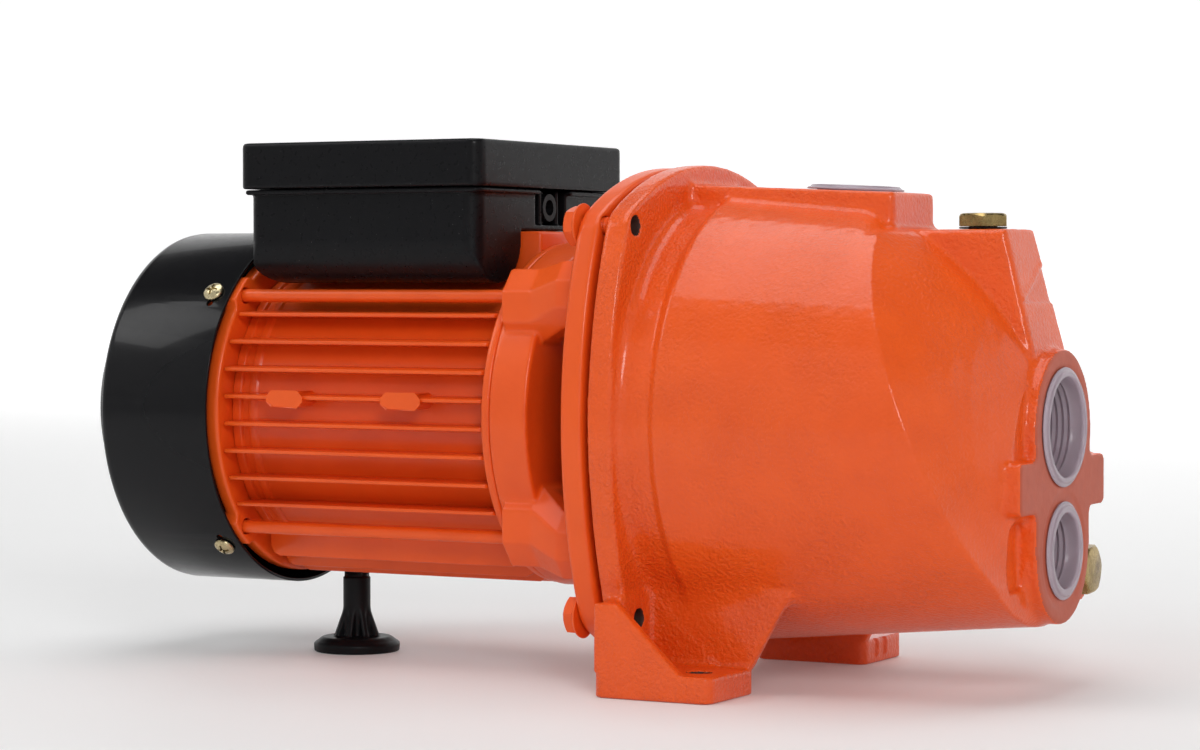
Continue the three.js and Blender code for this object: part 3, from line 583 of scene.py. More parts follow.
FINISH = {
    "casing_paint": cast_paint(),
    # Dark iron for the walls of the plain holes: partly bare drilled iron, partly painted shade inside
    # the holes.
    "bare_iron_and_shade": metal("bare_iron_and_shade", rgb(0.05, 0.016, 0.01), rgb(0.03, 0.01, 0.006), 0.7, metallic=0.0),
    "motor_paint": smooth_paint(),
    "face_paint": face_paint(),
    "black_paint": black_enamel(),
    "black_plastic": moulded("black_plastic", BLACK, 0.3, 0.15),
    "foot_plastic": moulded("foot_plastic", BLACK, 0.4, 0.05),
    "brass": metal("brass", rgb(0.44, 0.32, 0.13), rgb(0.2, 0.13, 0.05), 0.26),
    "yellow_zinc": metal("yellow_zinc", rgb(0.72, 0.62, 0.38), rgb(0.45, 0.36, 0.2), 0.26),
    "steel": metal("steel", rgb(0.56, 0.57, 0.58), rgb(0.4, 0.4, 0.41), 0.28),
    "lamination": laminated(),
    "copper": wound(),
    "aluminium": metal("aluminium", rgb(0.66, 0.67, 0.68), rgb(0.55, 0.56, 0.57), 0.3),
    "milky_plastic": milky(),
    "rubber": moulded("rubber", rgb(0.012, 0.012, 0.012), 0.6, 0.03),
    "ceramic": moulded("ceramic", rgb(0.78, 0.76, 0.7), 0.45, 0.6),
    "grey_plastic": moulded("grey_plastic", rgb(0.007, 0.007, 0.008), 0.7, 0.02),
}


def show(obj, finish, *nodes, extra=()):
    """Gives a piece its finish, rides it on the body of the CAD nodes it replaces, and hides them."""
    obj.data.materials.clear()
    for key in (finish, *extra):
        obj.data.materials.append(FINISH[key])
    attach(obj, body_of(nodes[0]))
    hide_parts(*nodes)
    return obj


# ---------------------------------------------------------------- casing

FLANGE = Sizes(half_width=83.3, half_height=95, side_radius=190, top_radius=125)
CASING_FLANGE = (2.2, 11.6)
BRACKET_FLANGE = (-9.5, -0.5)
BOLT = Sizes(y=62.7, z=71.4, radius=3.6)
NECK = Sizes(half_width=79.2, half_height=80.9, end=25)
BARREL = Sizes(start=28.5, half_width=81.5, half_height=84, side=0.07, top=0.0925)
CREASE = Sizes(x=122.5, lean=0.4, limit=145)
NOSE = Sizes(x=147.5, half_width=40.5, half_height=47.5, z=-22.5, bulge=0.12, pinch=0.35)
WALL = 6
PLATE_FACE = 152.5
SPOT_DEPTH = 0.4
SUCTION = Sizes(z=-1.2, bore=19.6, lobe=28, spot_face=22.4)
PRESSURE = Sizes(z=-45.7, bore=15.2, lobe=26.5, spot_face=21.2)
DISCHARGE = Sizes(x=70.5, bore=15.2, front=94, half_width=20)
BOSS_TOP = (37.5, 86.1, 0.0435)  # a station, the height there, and the fall towards the front
PRIMING = Sizes(x=121, top=70, bore=5.9)
DRAIN = Sizes(y=37.2, z=-55.5, seat=144.8)
FOOT = Sizes(back=6, front=53, inner=49, outer=86.2, top=-88.5, wall=5)
ANCHOR = Sizes(x=41, y=70, radius=4.3)


def flange_outline(y, z, shrink=0.0):
    """Four shallow arcs with rounded corners."""
    side = FLANGE.side_radius - FLANGE.half_width
    top = FLANGE.top_radius - FLANGE.half_height
    sides = circle(np.abs(y) + side, z, FLANGE.side_radius - shrink)
    tops = circle(y, np.abs(z) + top, FLANGE.top_radius - shrink)
    return smooth_max(sides, tops, 3)


def skin(inset, count=120):
    """The barrel and nose as points and quads, drawn smaller all round by an inset."""
    turns = [2 * math.pi * i / count for i in range(count)]

    def oval(x, half_width, half_height):
        return [
            (x, math.cos(t) * (half_width - inset), math.sin(t) * (half_height - inset))
            for t in turns
        ]

    crease, tip = [], []
    for t in turns:
        c, s = math.cos(t), math.sin(t)
        height = BARREL.half_height - inset + BARREL.top * BARREL.start
        along = (CREASE.x - CREASE.lean * s * height) / (1 - CREASE.lean * s * BARREL.top)
        x = min(along, CREASE.limit) - inset
        run = x - BARREL.start
        half_width = BARREL.half_width - inset - BARREL.side * run
        half_height = BARREL.half_height - inset - BARREL.top * run
        crease.append((x, c * half_width, s * half_height))
        tip_width = (NOSE.half_width - inset / 2) * (1 + NOSE.pinch * min(0, s))
        tip_height = NOSE.half_height - inset / 2
        tip.append((NOSE.x - inset, c * tip_width, NOSE.z + s * tip_height))
    between = []
    for part in (0.15, 0.3, 0.45, 0.6, 0.75, 0.9):
        swell = NOSE.bulge * math.sin(part * math.pi)
        ring = []
        for a, b in zip(crease, tip):
            x, y, z = (m + (n - m) * part for m, n in zip(a, b))
            ring.append((x + swell * (b[0] - a[0]), y, z))
        between.append(ring)
    return loft(
        [
            oval(CASING_FLANGE[0] + inset, NECK.half_width, NECK.half_height),
            oval(NECK.end, NECK.half_width, NECK.half_height),
            oval(BARREL.start, BARREL.half_width, BARREL.half_height),
            crease,
            *between,
            tip,
        ]
    )


def foot_shape(f, side):
    """One cast foot, on the side that the sign gives. The far one has ribs on its front."""
    back, front, inner, outer = FOOT.back, FOOT.front, FOOT.inner, FOOT.outer
    top, wall = FOOT.top, FOOT.wall
    y = f.y * side
    middle, half = (inner + outer) / 2, (outer - inner) / 2
    base = [(back, FLOOR - 4), (front, FLOOR - 4), (front, top)]
    outer_side = polygon(f.x, f.z, [*base, (41, top), (15.6, -64), (back, -64)])
    inner_side = polygon(f.x, f.z, [*base, (front + 15, -62), (back, -58)])
    plan_edge = rectangle(f.x - 31, y - middle, 40, half, 3)
    front_edge = rectangle(f.x - (back + front) / 2, y - middle, (front - back) / 2, half, 4)
    front_edge = both(front_edge, f.z - top - 2)
    low = both(front_edge, f.z - top - 0.1)
    shape = smooth_max(either(outer_side, inner_side), plan_edge, 1.6)
    shape = np.where(f.z < top - 0.4, both(shape, front_edge), shape)
    shape = cut(shape, smooth_max(inner + wall - y, -outer_side, 2), 1.2)
    hollow = smooth_max(slab(f.x, CASING_FLANGE[1], 90), slab(y, inner + wall, outer - wall), 4)
    hollow = smooth_max(hollow, top - f.z, 4)
    shape = either(cut(shape, hollow, 1.6), low)
    if side > 0:
        ribs = either(slab(y, 60, 62.2), slab(y, 68, 70.2))
        ribs = both(ribs, slab(f.x, front - 1, front + 1), slab(f.z, -95, top))
        shape = smooth_min(shape, ribs, 1)
    return both(shape, FLOOR - f.z)


def casing_boss(f):
    """The block under the top port. Its top falls a little towards the front."""
    station, height, fall = BOSS_TOP
    top = f.z - (height - fall * (f.x - station))
    side = np.abs(f.y) - DISCHARGE.half_width - 0.03 * (80 - f.z)
    shape = smooth_max(both(CASING_FLANGE[0] - f.x, f.x - DISCHARGE.front), side, 3)
    return both(smooth_max(shape, top, 1.8), 40 - f.z)


def filler_neck(f):
    """The wedge that carries the priming plug, with a rib and a ledge on its front."""
    outline = polygon(f.x, f.z, [(80, 20), (80, 70), (135.3, 70), (147, 26), (147, 0)])
    half_width = 17.5 - 2.3 * (f.z - 26) / 44
    shape = smooth_max(outline, np.abs(f.y) - half_width, 3.2)
    lean = 10.6 / 43.8
    out = (f.x - 135.3 - (70.1 - f.z) * lean) / math.hypot(1, lean)
    rise = (f.z - 44.7) / (59.5 - 44.7)
    across = (f.y + 12.5 - rise * 29.1) / math.hypot(1, 29.1 / 14.8)
    within = both(slab(f.z, 44.2, 59.5), np.abs(f.y) - half_width + 2.6)
    rib = both(np.abs(across) - 1.0, slab(out, -2, 0.7), within)
    low_side = both(-across, slab(f.z, 43.7, 62), -0.5 - out)
    return smooth_min(cut(shape, low_side, 1.0), rib, 0.7)


def port_plate(f):
    """Two lobes round the ports and a shallow wing across them on each side."""
    upper = circle(f.y, f.z - SUCTION.z, SUCTION.lobe)
    lower = circle(f.y, f.z - PRESSURE.z, PRESSURE.lobe)
    waist = rectangle(f.y, f.z + 23, 27.2, 22.5, 0.5)
    lobes = smooth_max(smooth_min(smooth_min(upper, waist, 3), lower, 2), slab(f.x, 125, PLATE_FACE), 1)
    wings = rectangle(f.y, f.z + 21.7, 43, 9.3, 2.5)
    wings = smooth_max(wings, slab(f.x, 146.5, PLATE_FACE), 1)
    return smooth_min(lobes, wings, 3.5)


def casing_outside(f):
    """Everything that is cast in one with the barrel, with a slightly uneven skin."""
    soft = 0.9
    body = f.solid(*skin(soft)) - soft
    side_pocket = both(rectangle(f.y + 31, f.z + 46, 5.5, 12, 3), 144.6 - f.x)
    body = cut(body, side_pocket, 2)
    crest = (84 - f.x + 78 - f.z) / math.sqrt(2)
    body = cut(body, both(crest, PRIMING.top - f.z), 3)
    flange = smooth_max(flange_outline(f.y, f.z), slab(f.x, *CASING_FLANGE), 2)
    body = smooth_min(body, flange, 6)
    body = smooth_min(body, casing_boss(f), 3.5)
    body = smooth_min(body, filler_neck(f), 1.8)
    for side in (-1, 1):
        body = smooth_min(body, foot_shape(f, side), 5)
    body = smooth_min(body, port_plate(f), 2.5)
    drain = both(circle(f.y - DRAIN.y, f.z - DRAIN.z, 12), slab(f.x, 118, DRAIN.seat))
    body = smooth_min(body, drain, 2.5)
    body = both(body, f.x - PLATE_FACE, CASING_FLANGE[0] - f.x)
    roughness = np.sin(f.x * 0.71 + 1.3 * np.sin(f.y * 0.43)) * np.sin(f.y * 0.63 + f.z * 0.29)
    return body + 0.05 * roughness * np.sin(f.z * 0.57 + 1.1 * np.sin(f.x * 0.37))


def casing_hollow(f):
    """The chamber, less the walls that the ports and the filler hole stand in."""
    hollow = both(f.solid(*skin(WALL)), CASING_FLANGE[0] - 2 - f.x)
    hollow = either(hollow, both(circle(f.y, f.z, 71), f.x - 10))
    bosses = either(
        circle(f.y, f.z - SUCTION.z, SUCTION.bore + 5),
        circle(f.y, f.z - PRESSURE.z, PRESSURE.bore + 5),
    )
    bosses = both(bosses, 126 - f.x)
    top_boss = both(circle(f.x - DISCHARGE.x, f.y, DISCHARGE.bore + 5), 58 - f.z)
    fill_boss = both(circle(f.x - PRIMING.x, f.y, PRIMING.bore + 5), 48 - f.z)
    bosses = either(bosses, top_boss, fill_boss)
    return cut(hollow, bosses, 2)


def casing():
    f = Field((CASING_FLANGE[0], -86.4, FLOOR), (PLATE_FACE, 86.4, 95.5), FINE)
    body = cut(casing_outside(f), casing_hollow(f), 1)
    for hole in casing_holes(f):
        body = cut(body, hole, 0.7)
    return f.mesh("casing", both(body, FLOOR + 0.1 - f.z))


def casing_holes(f):
    """The threaded ports and holes, the spot faces and the bolt holes."""
    pitch = 2.309
    for port in (SUCTION, PRESSURE):
        z = f.z - port.z
        turn = np.arctan2(z, f.y) / (2 * math.pi)
        wave = np.abs(((f.x / pitch + turn) % 1) - 0.5) * 2
        yield both(circle(f.y, z, port.bore) - 1.1 * wave, 110 - f.x)
        mouth = circle(f.y, z, port.bore) - np.maximum(f.x - PLATE_FACE + 1.2, 0)
        yield both(mouth, 148 - f.x)
        yield both(circle(f.y, z, port.spot_face), PLATE_FACE - SPOT_DEPTH - f.x)
    turn = np.arctan2(f.y, f.x - DISCHARGE.x) / (2 * math.pi)
    wave = np.abs(((f.z / pitch + turn) % 1) - 0.5) * 2
    yield both(circle(f.x - DISCHARGE.x, f.y, DISCHARGE.bore) - 1.1 * wave, 40 - f.z)
    yield both(circle(f.x - PRIMING.x, f.y, PRIMING.bore), 40 - f.z)
    drain = circle(f.y - DRAIN.y, f.z - DRAIN.z, PRIMING.bore)
    yield both(drain, 116 - f.x)
    yield both(circle(f.y - DRAIN.y, f.z - DRAIN.z, 10.5), DRAIN.seat - f.x)
    yield corners(f, BOLT, BOLT.radius) + 0 * f.x
    anchor = circle(f.x - ANCHOR.x, np.abs(f.y) - ANCHOR.y, ANCHOR.radius)
    yield both(anchor, f.z - FOOT.top - 1.5)


def paint_faces(obj, slot_index, test):
    """Moves the faces that a test of (centre, normal) picks to another material slot."""
    mesh = obj.data
    count = len(mesh.polygons)
    centre = np.zeros(count * 3, np.float32)
    normal = np.zeros(count * 3, np.float32)
    mesh.polygons.foreach_get("center", centre)
    mesh.polygons.foreach_get("normal", normal)
    centre = centre.reshape(-1, 3) / MM - np.array(ORIGIN)
    picked = test(centre, normal.reshape(-1, 3))
    index = np.zeros(count, np.int32)
    mesh.polygons.foreach_get("material_index", index)
    index[picked] = slot_index
    mesh.polygons.foreach_set("material_index", index)


def in_bolt_or_anchor_hole(c, n):
    """Which faces are walls of the plain holes, from face centres and normals."""
    bolt = np.hypot(np.abs(c[:, 1]) - BOLT.y, np.abs(c[:, 2]) - BOLT.z) < BOLT.radius + 0.3
    bolt &= np.abs(n[:, 0]) < 0.7
    anchor = np.hypot(c[:, 0] - ANCHOR.x, np.abs(c[:, 1]) - ANCHOR.y) < ANCHOR.radius + 0.4
    anchor &= (c[:, 2] < FOOT.top + 1) & (np.abs(n[:, 2]) < 0.7)
    return bolt | anchor


pump_casing = show(casing(), "casing_paint", "pump_casing", extra=("face_paint", "bare_iron_and_shade"))
# The walls of the bolt and anchor holes take the dark iron colour: partly bare metal, partly painted
# shade.
paint_faces(pump_casing, 2, in_bolt_or_anchor_hole)
paint_faces(
    pump_casing,
    1,
    lambda c, n: (c[:, 0] > PLATE_FACE - 0.7) & (n[:, 0] > 0.8) & (c[:, 2] < 30),
)

# ---------------------------------------------------------------- motor bracket

RING = Sizes(back=-52.2, step=-48.4, front=-32.5, inner=61, outer=66.5, spigot=65.9, spigot_front=-48.6)
STRUTS = {1: (41.8, 14.0), -1: (39.8, 15.6)}
STRUT_PLAN = ((-0.5, -1), (0.5, -1), (1, -0.4), (1, 0.4), (0.5, 1), (-0.5, 1), (-1, 0.4), (-1, -0.4))


def strut(side, up):
    """A faceted boss on the ring that narrows towards the flange's corner."""
    middle, height = STRUTS[up]

    def section(x, y, z, half_width, half_height):
        return [(x, side * y + u * half_width, up * z + v * half_height) for u, v in STRUT_PLAN]

    return loft(
        [
            section(-45.8, 46.5, middle, 15, height),
            section(-33.5, 46.5, middle, 15, height),
            section(-20.5, 53, 46.4, 12, 12.4),
            section(-6, 53, 46.4, 12, 12.4),
        ]
    )


def bracket():
    f = Field((-56.5, -83, -94.5), (-0.5, 83, 94.5), FINE)
    radius = np.sqrt(f.y * f.y + f.z * f.z)
    ring = slab(radius, RING.inner, RING.outer)
    ring = smooth_max(ring, slab(f.x, RING.back, RING.front), 1.2)
    spigot = both(radius - RING.spigot, f.x - RING.spigot_front)
    ring = np.where(f.x < RING.step, both(ring, spigot), ring)
    wall = both(slab(radius, 20, RING.inner + 2), slab(f.x, -39, RING.front))
    dish = [(-56.5, 9), (-56.5, 23), (-33.5, 25), (-24, 29), (-13, 37), (-9, 44), (-9, 9)]
    body = smooth_min(either(ring, wall), f.solid(*turned(dish, 72)), 3)
    flange = smooth_max(flange_outline(f.y, f.z, 0.8), slab(f.x, *BRACKET_FLANGE), 2)
    body = smooth_min(body, flange, 4)
    for side, up in CORNERS:
        body = smooth_min(body, f.solid(*strut(side, up)), 0.8)
    tunnel = [(-60, 0), (-60, 17.8), (-41, 17.8), (-41, 10), (-33, 10), (-33, 20), (-25, 20)]
    tunnel += [(-14, 16), (-14, 9.5), (-9.2, 9.5), (-9.2, 13.5), (2, 13.5), (2, 0)]
    body = cut(body, f.solid(*turned(tunnel, 48)))
    cup = both(slab(radius, 28, RING.inner - 0.5), f.x + 39.5)
    body = cut(body, cup)
    bolts = corners(f, BOLT, BOLT.radius - 0.1)
    body = cut(body, both(bolts, -20 - f.x))
    ties = corners(f, TIE, TIE.radius + 0.5)
    body = cut(body, both(ties, f.x + 35))
    body = both(body, slab(f.x, -56.5, BRACKET_FLANGE[1]))
    return f.mesh("bracket", body)


TIE = Sizes(y=46, z=45.5, radius=2.5, back=-177, front=-36)
motor_bracket = show(bracket(), "motor_paint", "motor_bracket")
# The bracket gets its own copy of the paint, with painted shade darkening its window.
motor_bracket.data.materials[0] = smooth_paint("bracket_paint_with_painted_shade", hollow=True)


def tie_rod(side, up, number):
    r = TIE.radius
    profile = [
        (TIE.back, 0), (TIE.back, r - 0.5), (TIE.back + 0.6, r),
        (TIE.front - 0.6, r), (TIE.front, r - 0.5), (TIE.front, 0),
    ]
    rod = lathe(f"tie_{number}", profile, 32)
    moved(rod, shifted(y=side * TIE.y, z=up * TIE.z))
    return show(rod, "motor_paint", f"tie_rod_{number}")


for number, (side, up) in enumerate(CORNERS, 1):
    tie_rod(side, up, number)

# ---------------------------------------------------------------- stator housing

HOUSING = Sizes(back=-170.3, front=-52.6, body=55, bore=50.3, tip=66, reach=64, fin_root=52)
FIN = Sizes(pitch=10.6, root=1.6, edge=0.7, side=8, lowest=-36, below=7)
PAD = Sizes(half_width=19, top=70.4)


def fin(name, start, stop, place, reach, root, sideways):
    """One cooling fin: thinner at its edge, rounded there, and with soft ends."""
    edge = FIN.edge
    bend = 2.2 if sideways else 4
    back = math.copysign(bend, reach)
    outline = [
        (start, root), (start, reach - back), (start + bend * 0.3, reach - back * 0.3),
        (start + bend, reach), (stop - bend, reach), (stop - bend * 0.3, reach - back * 0.3),
        (stop, reach - back), (stop, root),
    ]
    points, faces = [], []
    for sign in (-1, 1):
        for x, r in outline:
            t = (r - root) / (reach - root)
            half = FIN.root + (edge - FIN.root) * t
            point = (x, r, place + sign * half) if sideways else (x, place + sign * half, r)
            points.append(point)
    count = len(outline)
    bm = bmesh.new()
    verts = [bm.verts.new(p) for p in points]
    bm.faces.new(verts[:count])
    bm.faces.new(list(reversed(verts[count:])))
    for i in range(count):
        j = (i + 1) % count
        bm.faces.new((verts[i], verts[i + count], verts[j + count], verts[j]))
    bmesh.ops.recalc_face_normals(bm, faces=bm.faces)
    mesh = bpy.data.meshes.new(name)
    bm.to_mesh(mesh)
    bm.free()
    mesh.transform(Matrix.Scale(MM, 4))
    mesh.transform(Matrix.Translation(ORIGIN * MM))
    return modified(linked(name, mesh), bevel(0.45, 2))


def housing():
    back, front = HOUSING.back, HOUSING.front
    body = HOUSING.body
    sleeve = lathe(
        "sleeve",
        [
            (back, HOUSING.bore), (back, body + 1.2, 0.4), (back + 3.6, body + 1.2, 0.4),
            (back + 4.2, body), (back + 7, body, 0.4), (back + 7.4, body + 0.8, 0.4),
            (back + 10, body + 0.8, 0.4), (back + 11, body), (front, body, 0.4),
            (front, HOUSING.bore),
        ],
        144,
    )
    parts = [sleeve]
    for i in range(FIN.side):
        z = FIN.lowest + i * FIN.pitch
        reach = min(HOUSING.reach, math.sqrt(HOUSING.tip ** 2 - z * z))
        root = math.sqrt(HOUSING.fin_root ** 2 - z * z)
        for side in (-1, 1):
            parts.append(fin("fin", back + 0.3, front - 0.2, z, side * reach, side * root, True))
    for i in range(FIN.below):
        y = (i - (FIN.below - 1) / 2) * FIN.pitch
        reach = math.sqrt(HOUSING.tip ** 2 - y * y)
        root = math.sqrt(HOUSING.fin_root ** 2 - y * y)
        if i == (FIN.below - 1) // 2:
            middle = (span("motor_foot")[0].x + span("motor_foot")[1].x) / 2
            parts.append(fin("fin", back + 2, middle - 9.2, y, -reach, -root, False))
            parts.append(fin("fin", middle + 9.2, front - 1, y, -reach, -root, False))
        else:
            parts.append(fin("fin", back + 2, front - 1, y, -reach, -root, False))
    half = PAD.half_width
    pad = box("pad", (back, -half, 48), (front, half, PAD.top))
    parts.append(modified(pad, bevel(1.2, 3)))
    for x0, x1 in ((-147.8, -132.2), (-96, -79.3)):
        parts.append(lozenge(x0, x1))
    return tidy(joined("housing", parts))


def lozenge(x0, x1):
    """A small eight-sided pad that stands on the edge of one near fin."""
    z = FIN.lowest + 4 * FIN.pitch - 0.6
    half, clip = 2.9, 2.1
    outline = [
        (x0 + clip, z - half), (x1 - clip, z - half), (x1, z - half + clip), (x1, z + half - clip),
        (x1 - clip, z + half), (x0 + clip, z + half), (x0, z + half - clip), (x0, z - half + clip),
    ]
    rings = [[(x, y, zz) for x, zz in outline] for y in (-65.4, -54)]
    return modified(new_object("lozenge", *loft(rings)), bevel(0.5, 2))


show(housing(), "motor_paint", "stator_housing")


# ---------------------------------------------------------------- rear end shield

SHIELD = Sizes(back=-176.5, front=-170.6, rim=66, ear=7.4)
COVER = Sizes(front=-173, back=-224.4, dome=-242.55, radius=70.8, dome_radius=52, sheet=1.2)
SCREW = Sizes(x=-180.7, turn=math.radians(3.9), slot_turn=math.radians(4.1))


def corner_turn(side, up):
    """The angle of one cover screw round the shaft, from +Y towards +Z."""
    return math.atan2(up, side) + SCREW.turn


def point_out(angle):
    """Turns a piece drawn along X to point away from the shaft at an angle round it."""
    return Matrix.Rotation(angle, 4, "X") @ Matrix.Rotation(math.pi / 2, 4, "Z")


def end_shield():
    f = Field((-194.5, -69.6, -69.6), (-170.6, 69.6, 69.6), FINE * 0.9)
    radius = np.sqrt(f.y * f.y + f.z * f.z)
    rim = smooth_max(slab(radius, 50.5, SHIELD.rim), slab(f.x, SHIELD.back, SHIELD.front), 1.2)
    disc = both(slab(radius, 12, 54), slab(f.x, SHIELD.back, SHIELD.back + 4))
    hub = both(slab(radius, 9, 23), slab(f.x, -194.5, SHIELD.front))
    body = smooth_min(smooth_min(rim, disc, 2), hub, 3)
    ears = corners(f, TIE, SHIELD.ear)
    ears = both(ears, slab(f.x, -186, SHIELD.front), radius - 69)
    body = smooth_min(body, ears, 2)
    webs = both(np.abs(np.abs(f.y) - np.abs(f.z)) / math.sqrt(2) - 3, slab(radius, 22, 60))
    webs = both(webs, slab(f.x, -182, SHIELD.front - 1))
    body = smooth_min(body, webs, 2)
    body = cut(body, both(radius - 17.8, -191.8 - f.x))
    ties = corners(f, TIE, TIE.radius + 0.7)
    body = cut(body, both(ties, -177.5 - f.x), 0.3)
    for side, up in CORNERS:
        turn = corner_turn(side, up)
        along = f.y * math.cos(turn) + f.z * math.sin(turn)
        across = f.z * math.cos(turn) - f.y * math.sin(turn)
        hole = both(circle(f.x - SCREW.x, across, 2.3), 57 - along)
        body = cut(body, hole, 0.3)
    body = both(body, slab(f.x, -194.5, SHIELD.front), radius - 69.1)
    return f.mesh("end_shield", body)


show(end_shield(), "motor_paint", "rear_end_shield")


# ---------------------------------------------------------------- fan cover


def fan_cover():
    c = COVER
    r, t = c.radius, c.sheet
    outside = [
        (c.front, r, 0.3), (c.back, r, 4.2), (c.back, c.dome_radius + 1.5, 2.5),
        (c.dome + 3, c.dome_radius - 1, 5), (c.dome, c.dome_radius - 10, 6), (c.dome, AXIS),
    ]
    inside = [
        (c.dome + t, AXIS), (c.dome + t, c.dome_radius - 11, 6),
        (c.dome + 3 + t, c.dome_radius - 2.5, 4), (c.back + t, c.dome_radius + 0.3, 2),
        (c.back + t, r - t, 3), (c.front, r - t, 0.3),
    ]
    cover = lathe("fan_cover_sheet", outside + inside, 144)
    cutters = []
    vents = 12
    for i in range(vents):
        slot = box("vent", (c.dome - 2, 15, -1.9), (c.dome + 4, 41, 1.9))
        slot = modified(slot, bevel(1.8, 4))
        cutters.append(moved(slot, Matrix.Rotation(2 * math.pi * i / vents, 4, "X")))
    for side, up in CORNERS:
        turn = corner_turn(side, up)
        for angle, radius in ((turn, 2.4), (turn - side * up * SCREW.slot_turn, 1.5)):
            hole = lathe("hole", [(55, AXIS), (55, radius), (80, radius), (80, AXIS)], 20)
            cutters.append(moved(hole, shifted(SCREW.x) @ point_out(angle)))
    return tidy(without(cover, joined("cutters", cutters)))


show(fan_cover(), "black_paint", "fan_cover")


def cross_screw(name, seat, head, height, shank, length):
    """A pan head screw with a cross recess, drawn outwards along X from its seat."""
    profile = [
        (seat, AXIS), (seat, head, 0.25), (seat + height * 0.45, head - 0.1, 0.8),
        (seat + height, head * 0.45, 1.2), (seat + height, AXIS),
    ]
    screw = lathe(name, profile, 40, sharp=50)
    over = seat + height + 1
    blades = []
    for turn in (0, math.pi / 2):
        arm = box("arm", (seat + height * 0.4, -head * 0.62, -0.42), (over, head * 0.62, 0.42))
        blades.append(moved(arm, Matrix.Rotation(turn, 4, "X")))
    middle = lathe("middle", [(seat + 0.5, AXIS), (over, head * 0.42), (over, AXIS)], 16)
    without(screw, *blades, middle)
    rod = thread(seat - length, seat + 0.2, 0.8, shank - 0.35, shank, 24)
    return tidy(joined(name, [screw, rod]), 50)


for number, (side, up) in enumerate(CORNERS, 1):
    screw = cross_screw(f"cover_screw_{number}", COVER.radius + 0.3, 4.2, 2.4, 2.0, 10.5)
    moved(screw, shifted(SCREW.x) @ point_out(corner_turn(side, up)))
    show(screw, "yellow_zinc", f"fan_cover_screw_{number}")

# ---------------------------------------------------------------- terminal box

LID = Sizes(back=-166.3, front=-57.3, half_width=58.2, bottom=87, top=104.8, wall=2)
TRAY = Sizes(back=-164.5, front=-60.8, half_width=54, bottom=70.8, top=86.6, wall=2.2)
POD = Sizes(outer=-54, inner=-20, bottom=50.4)
GLAND = Sizes(y=3, z=79.8, depth=8, near=-9, far=15)
LID_STEP = 0.7


def plan(f, back, front, half_width, corner):
    return rectangle(f.x - (back + front) / 2, f.y, (front - back) / 2, half_width, corner)


def tray():
    t = TRAY
    low, high = (t.back, -t.half_width, POD.bottom), (t.front, t.half_width, t.top)
    f = Field(low, high, LID_STEP)
    middle = (POD.outer + POD.inner) / 2
    radius = (POD.inner - POD.outer) / 2
    deep = t.front - GLAND.depth
    w = t.wall

    def shell(inset):
        """The tray and its round-bottomed pod, drawn smaller all round by an inset."""
        outline = plan(f, t.back + inset, t.front - inset, t.half_width - inset, 6 - inset)
        dish = both(outline, t.bottom + inset - f.z)
        centre = POD.bottom + radius
        round_part = circle(f.y - middle, f.z - centre, radius - inset)
        straight = both(np.abs(f.y - middle) - radius + inset, centre - f.z)
        section = np.where(f.z < centre, round_part, straight)
        bend = 9
        corner = rectangle(
            f.x - (t.front + t.back) / 2, f.z - (POD.bottom + 60),
            (t.front - t.back) / 2 - inset, 60 - inset, bend,
        )
        corner = np.where(f.x < t.back + 30, corner, t.back - f.x)
        return either(dish, both(section, outline, corner))

    lip = plan(f, LID.back + 0.8, LID.front - 0.8, LID.half_width - 0.8, 5.5)
    lip = smooth_max(lip, slab(f.z, t.top - 1.9, t.top), 0.8)
    body = either(smooth_max(shell(0), f.z - t.top, 0.6), lip)
    kept = both(slab(f.x, deep - w, t.front), slab(f.y, GLAND.near - w, GLAND.far + w))
    body = cut(body, cut(shell(w), kept, 0.4), 0.4)
    recess = both(slab(f.x, deep, t.front + 3), slab(f.y, GLAND.near, GLAND.far))
    body = cut(body, both(recess, t.bottom + w - f.z), 0.4)
    posts = either(slab(f.y, -4.3, -2.9), slab(f.y, 9.0, 10.4))
    posts = both(posts, slab(f.x, deep - 0.5, t.front - 0.6))
    body = smooth_min(body, both(posts, slab(f.z, t.bottom, t.top)), 0.5)
    hole = circle(f.y - GLAND.y, f.z - GLAND.z, 5.1)
    body = cut(body, both(hole, slab(f.x, deep - 6, deep + 3)), 0.3)
    return f.mesh("box_base", both(body, f.z - t.top))


LID_SCREWS = (1, 2, 3, 4)


def screw_place(number):
    """Where one lid screw stands, in x and y."""
    low, high = span(f"lid_screw_{number}")
    return (low.x + high.x) / 2, (low.y + high.y) / 2


def lid():
    t = LID
    low, high = (t.back, -t.half_width, t.bottom), (t.front, t.half_width, t.top)
    f = Field(low, high, LID_STEP)
    outside = smooth_max(plan(f, t.back, t.front, t.half_width, 5.5), f.z - t.top, 1.8)
    outside = both(outside, t.bottom - f.z)
    w = t.wall
    inner = both(plan(f, t.back + w, t.front - w, t.half_width - w, 3.5), f.z - t.top + w)
    pillars = either(*(circle(f.x - x, f.y - y, 0) for x, y in map(screw_place, LID_SCREWS)))
    body = cut(outside, inner, 0.6)
    body = smooth_min(body, both(pillars - 5.8, slab(f.z, t.top - 8, t.top - 1)), 0.8)
    body = cut(body, both(pillars - 3.9, t.top - 2.6 - f.z), 0.4)
    body = cut(body, pillars - 2.0 + 0 * f.z, 0.3)
    return f.mesh("box_lid", body)


show(tray(), "black_plastic", "terminal_box_base")
show(lid(), "black_plastic", "terminal_box_lid")

for number in LID_SCREWS:
    screw = cross_screw(f"box_screw_{number}", LID.top - 2.3, 3.6, 1.5, 1.7, 9.5)
    moved(screw, shifted(*screw_place(number)) @ UPRIGHT)
    show(screw, "yellow_zinc", f"lid_screw_{number}")

# ---------------------------------------------------------------- motor foot


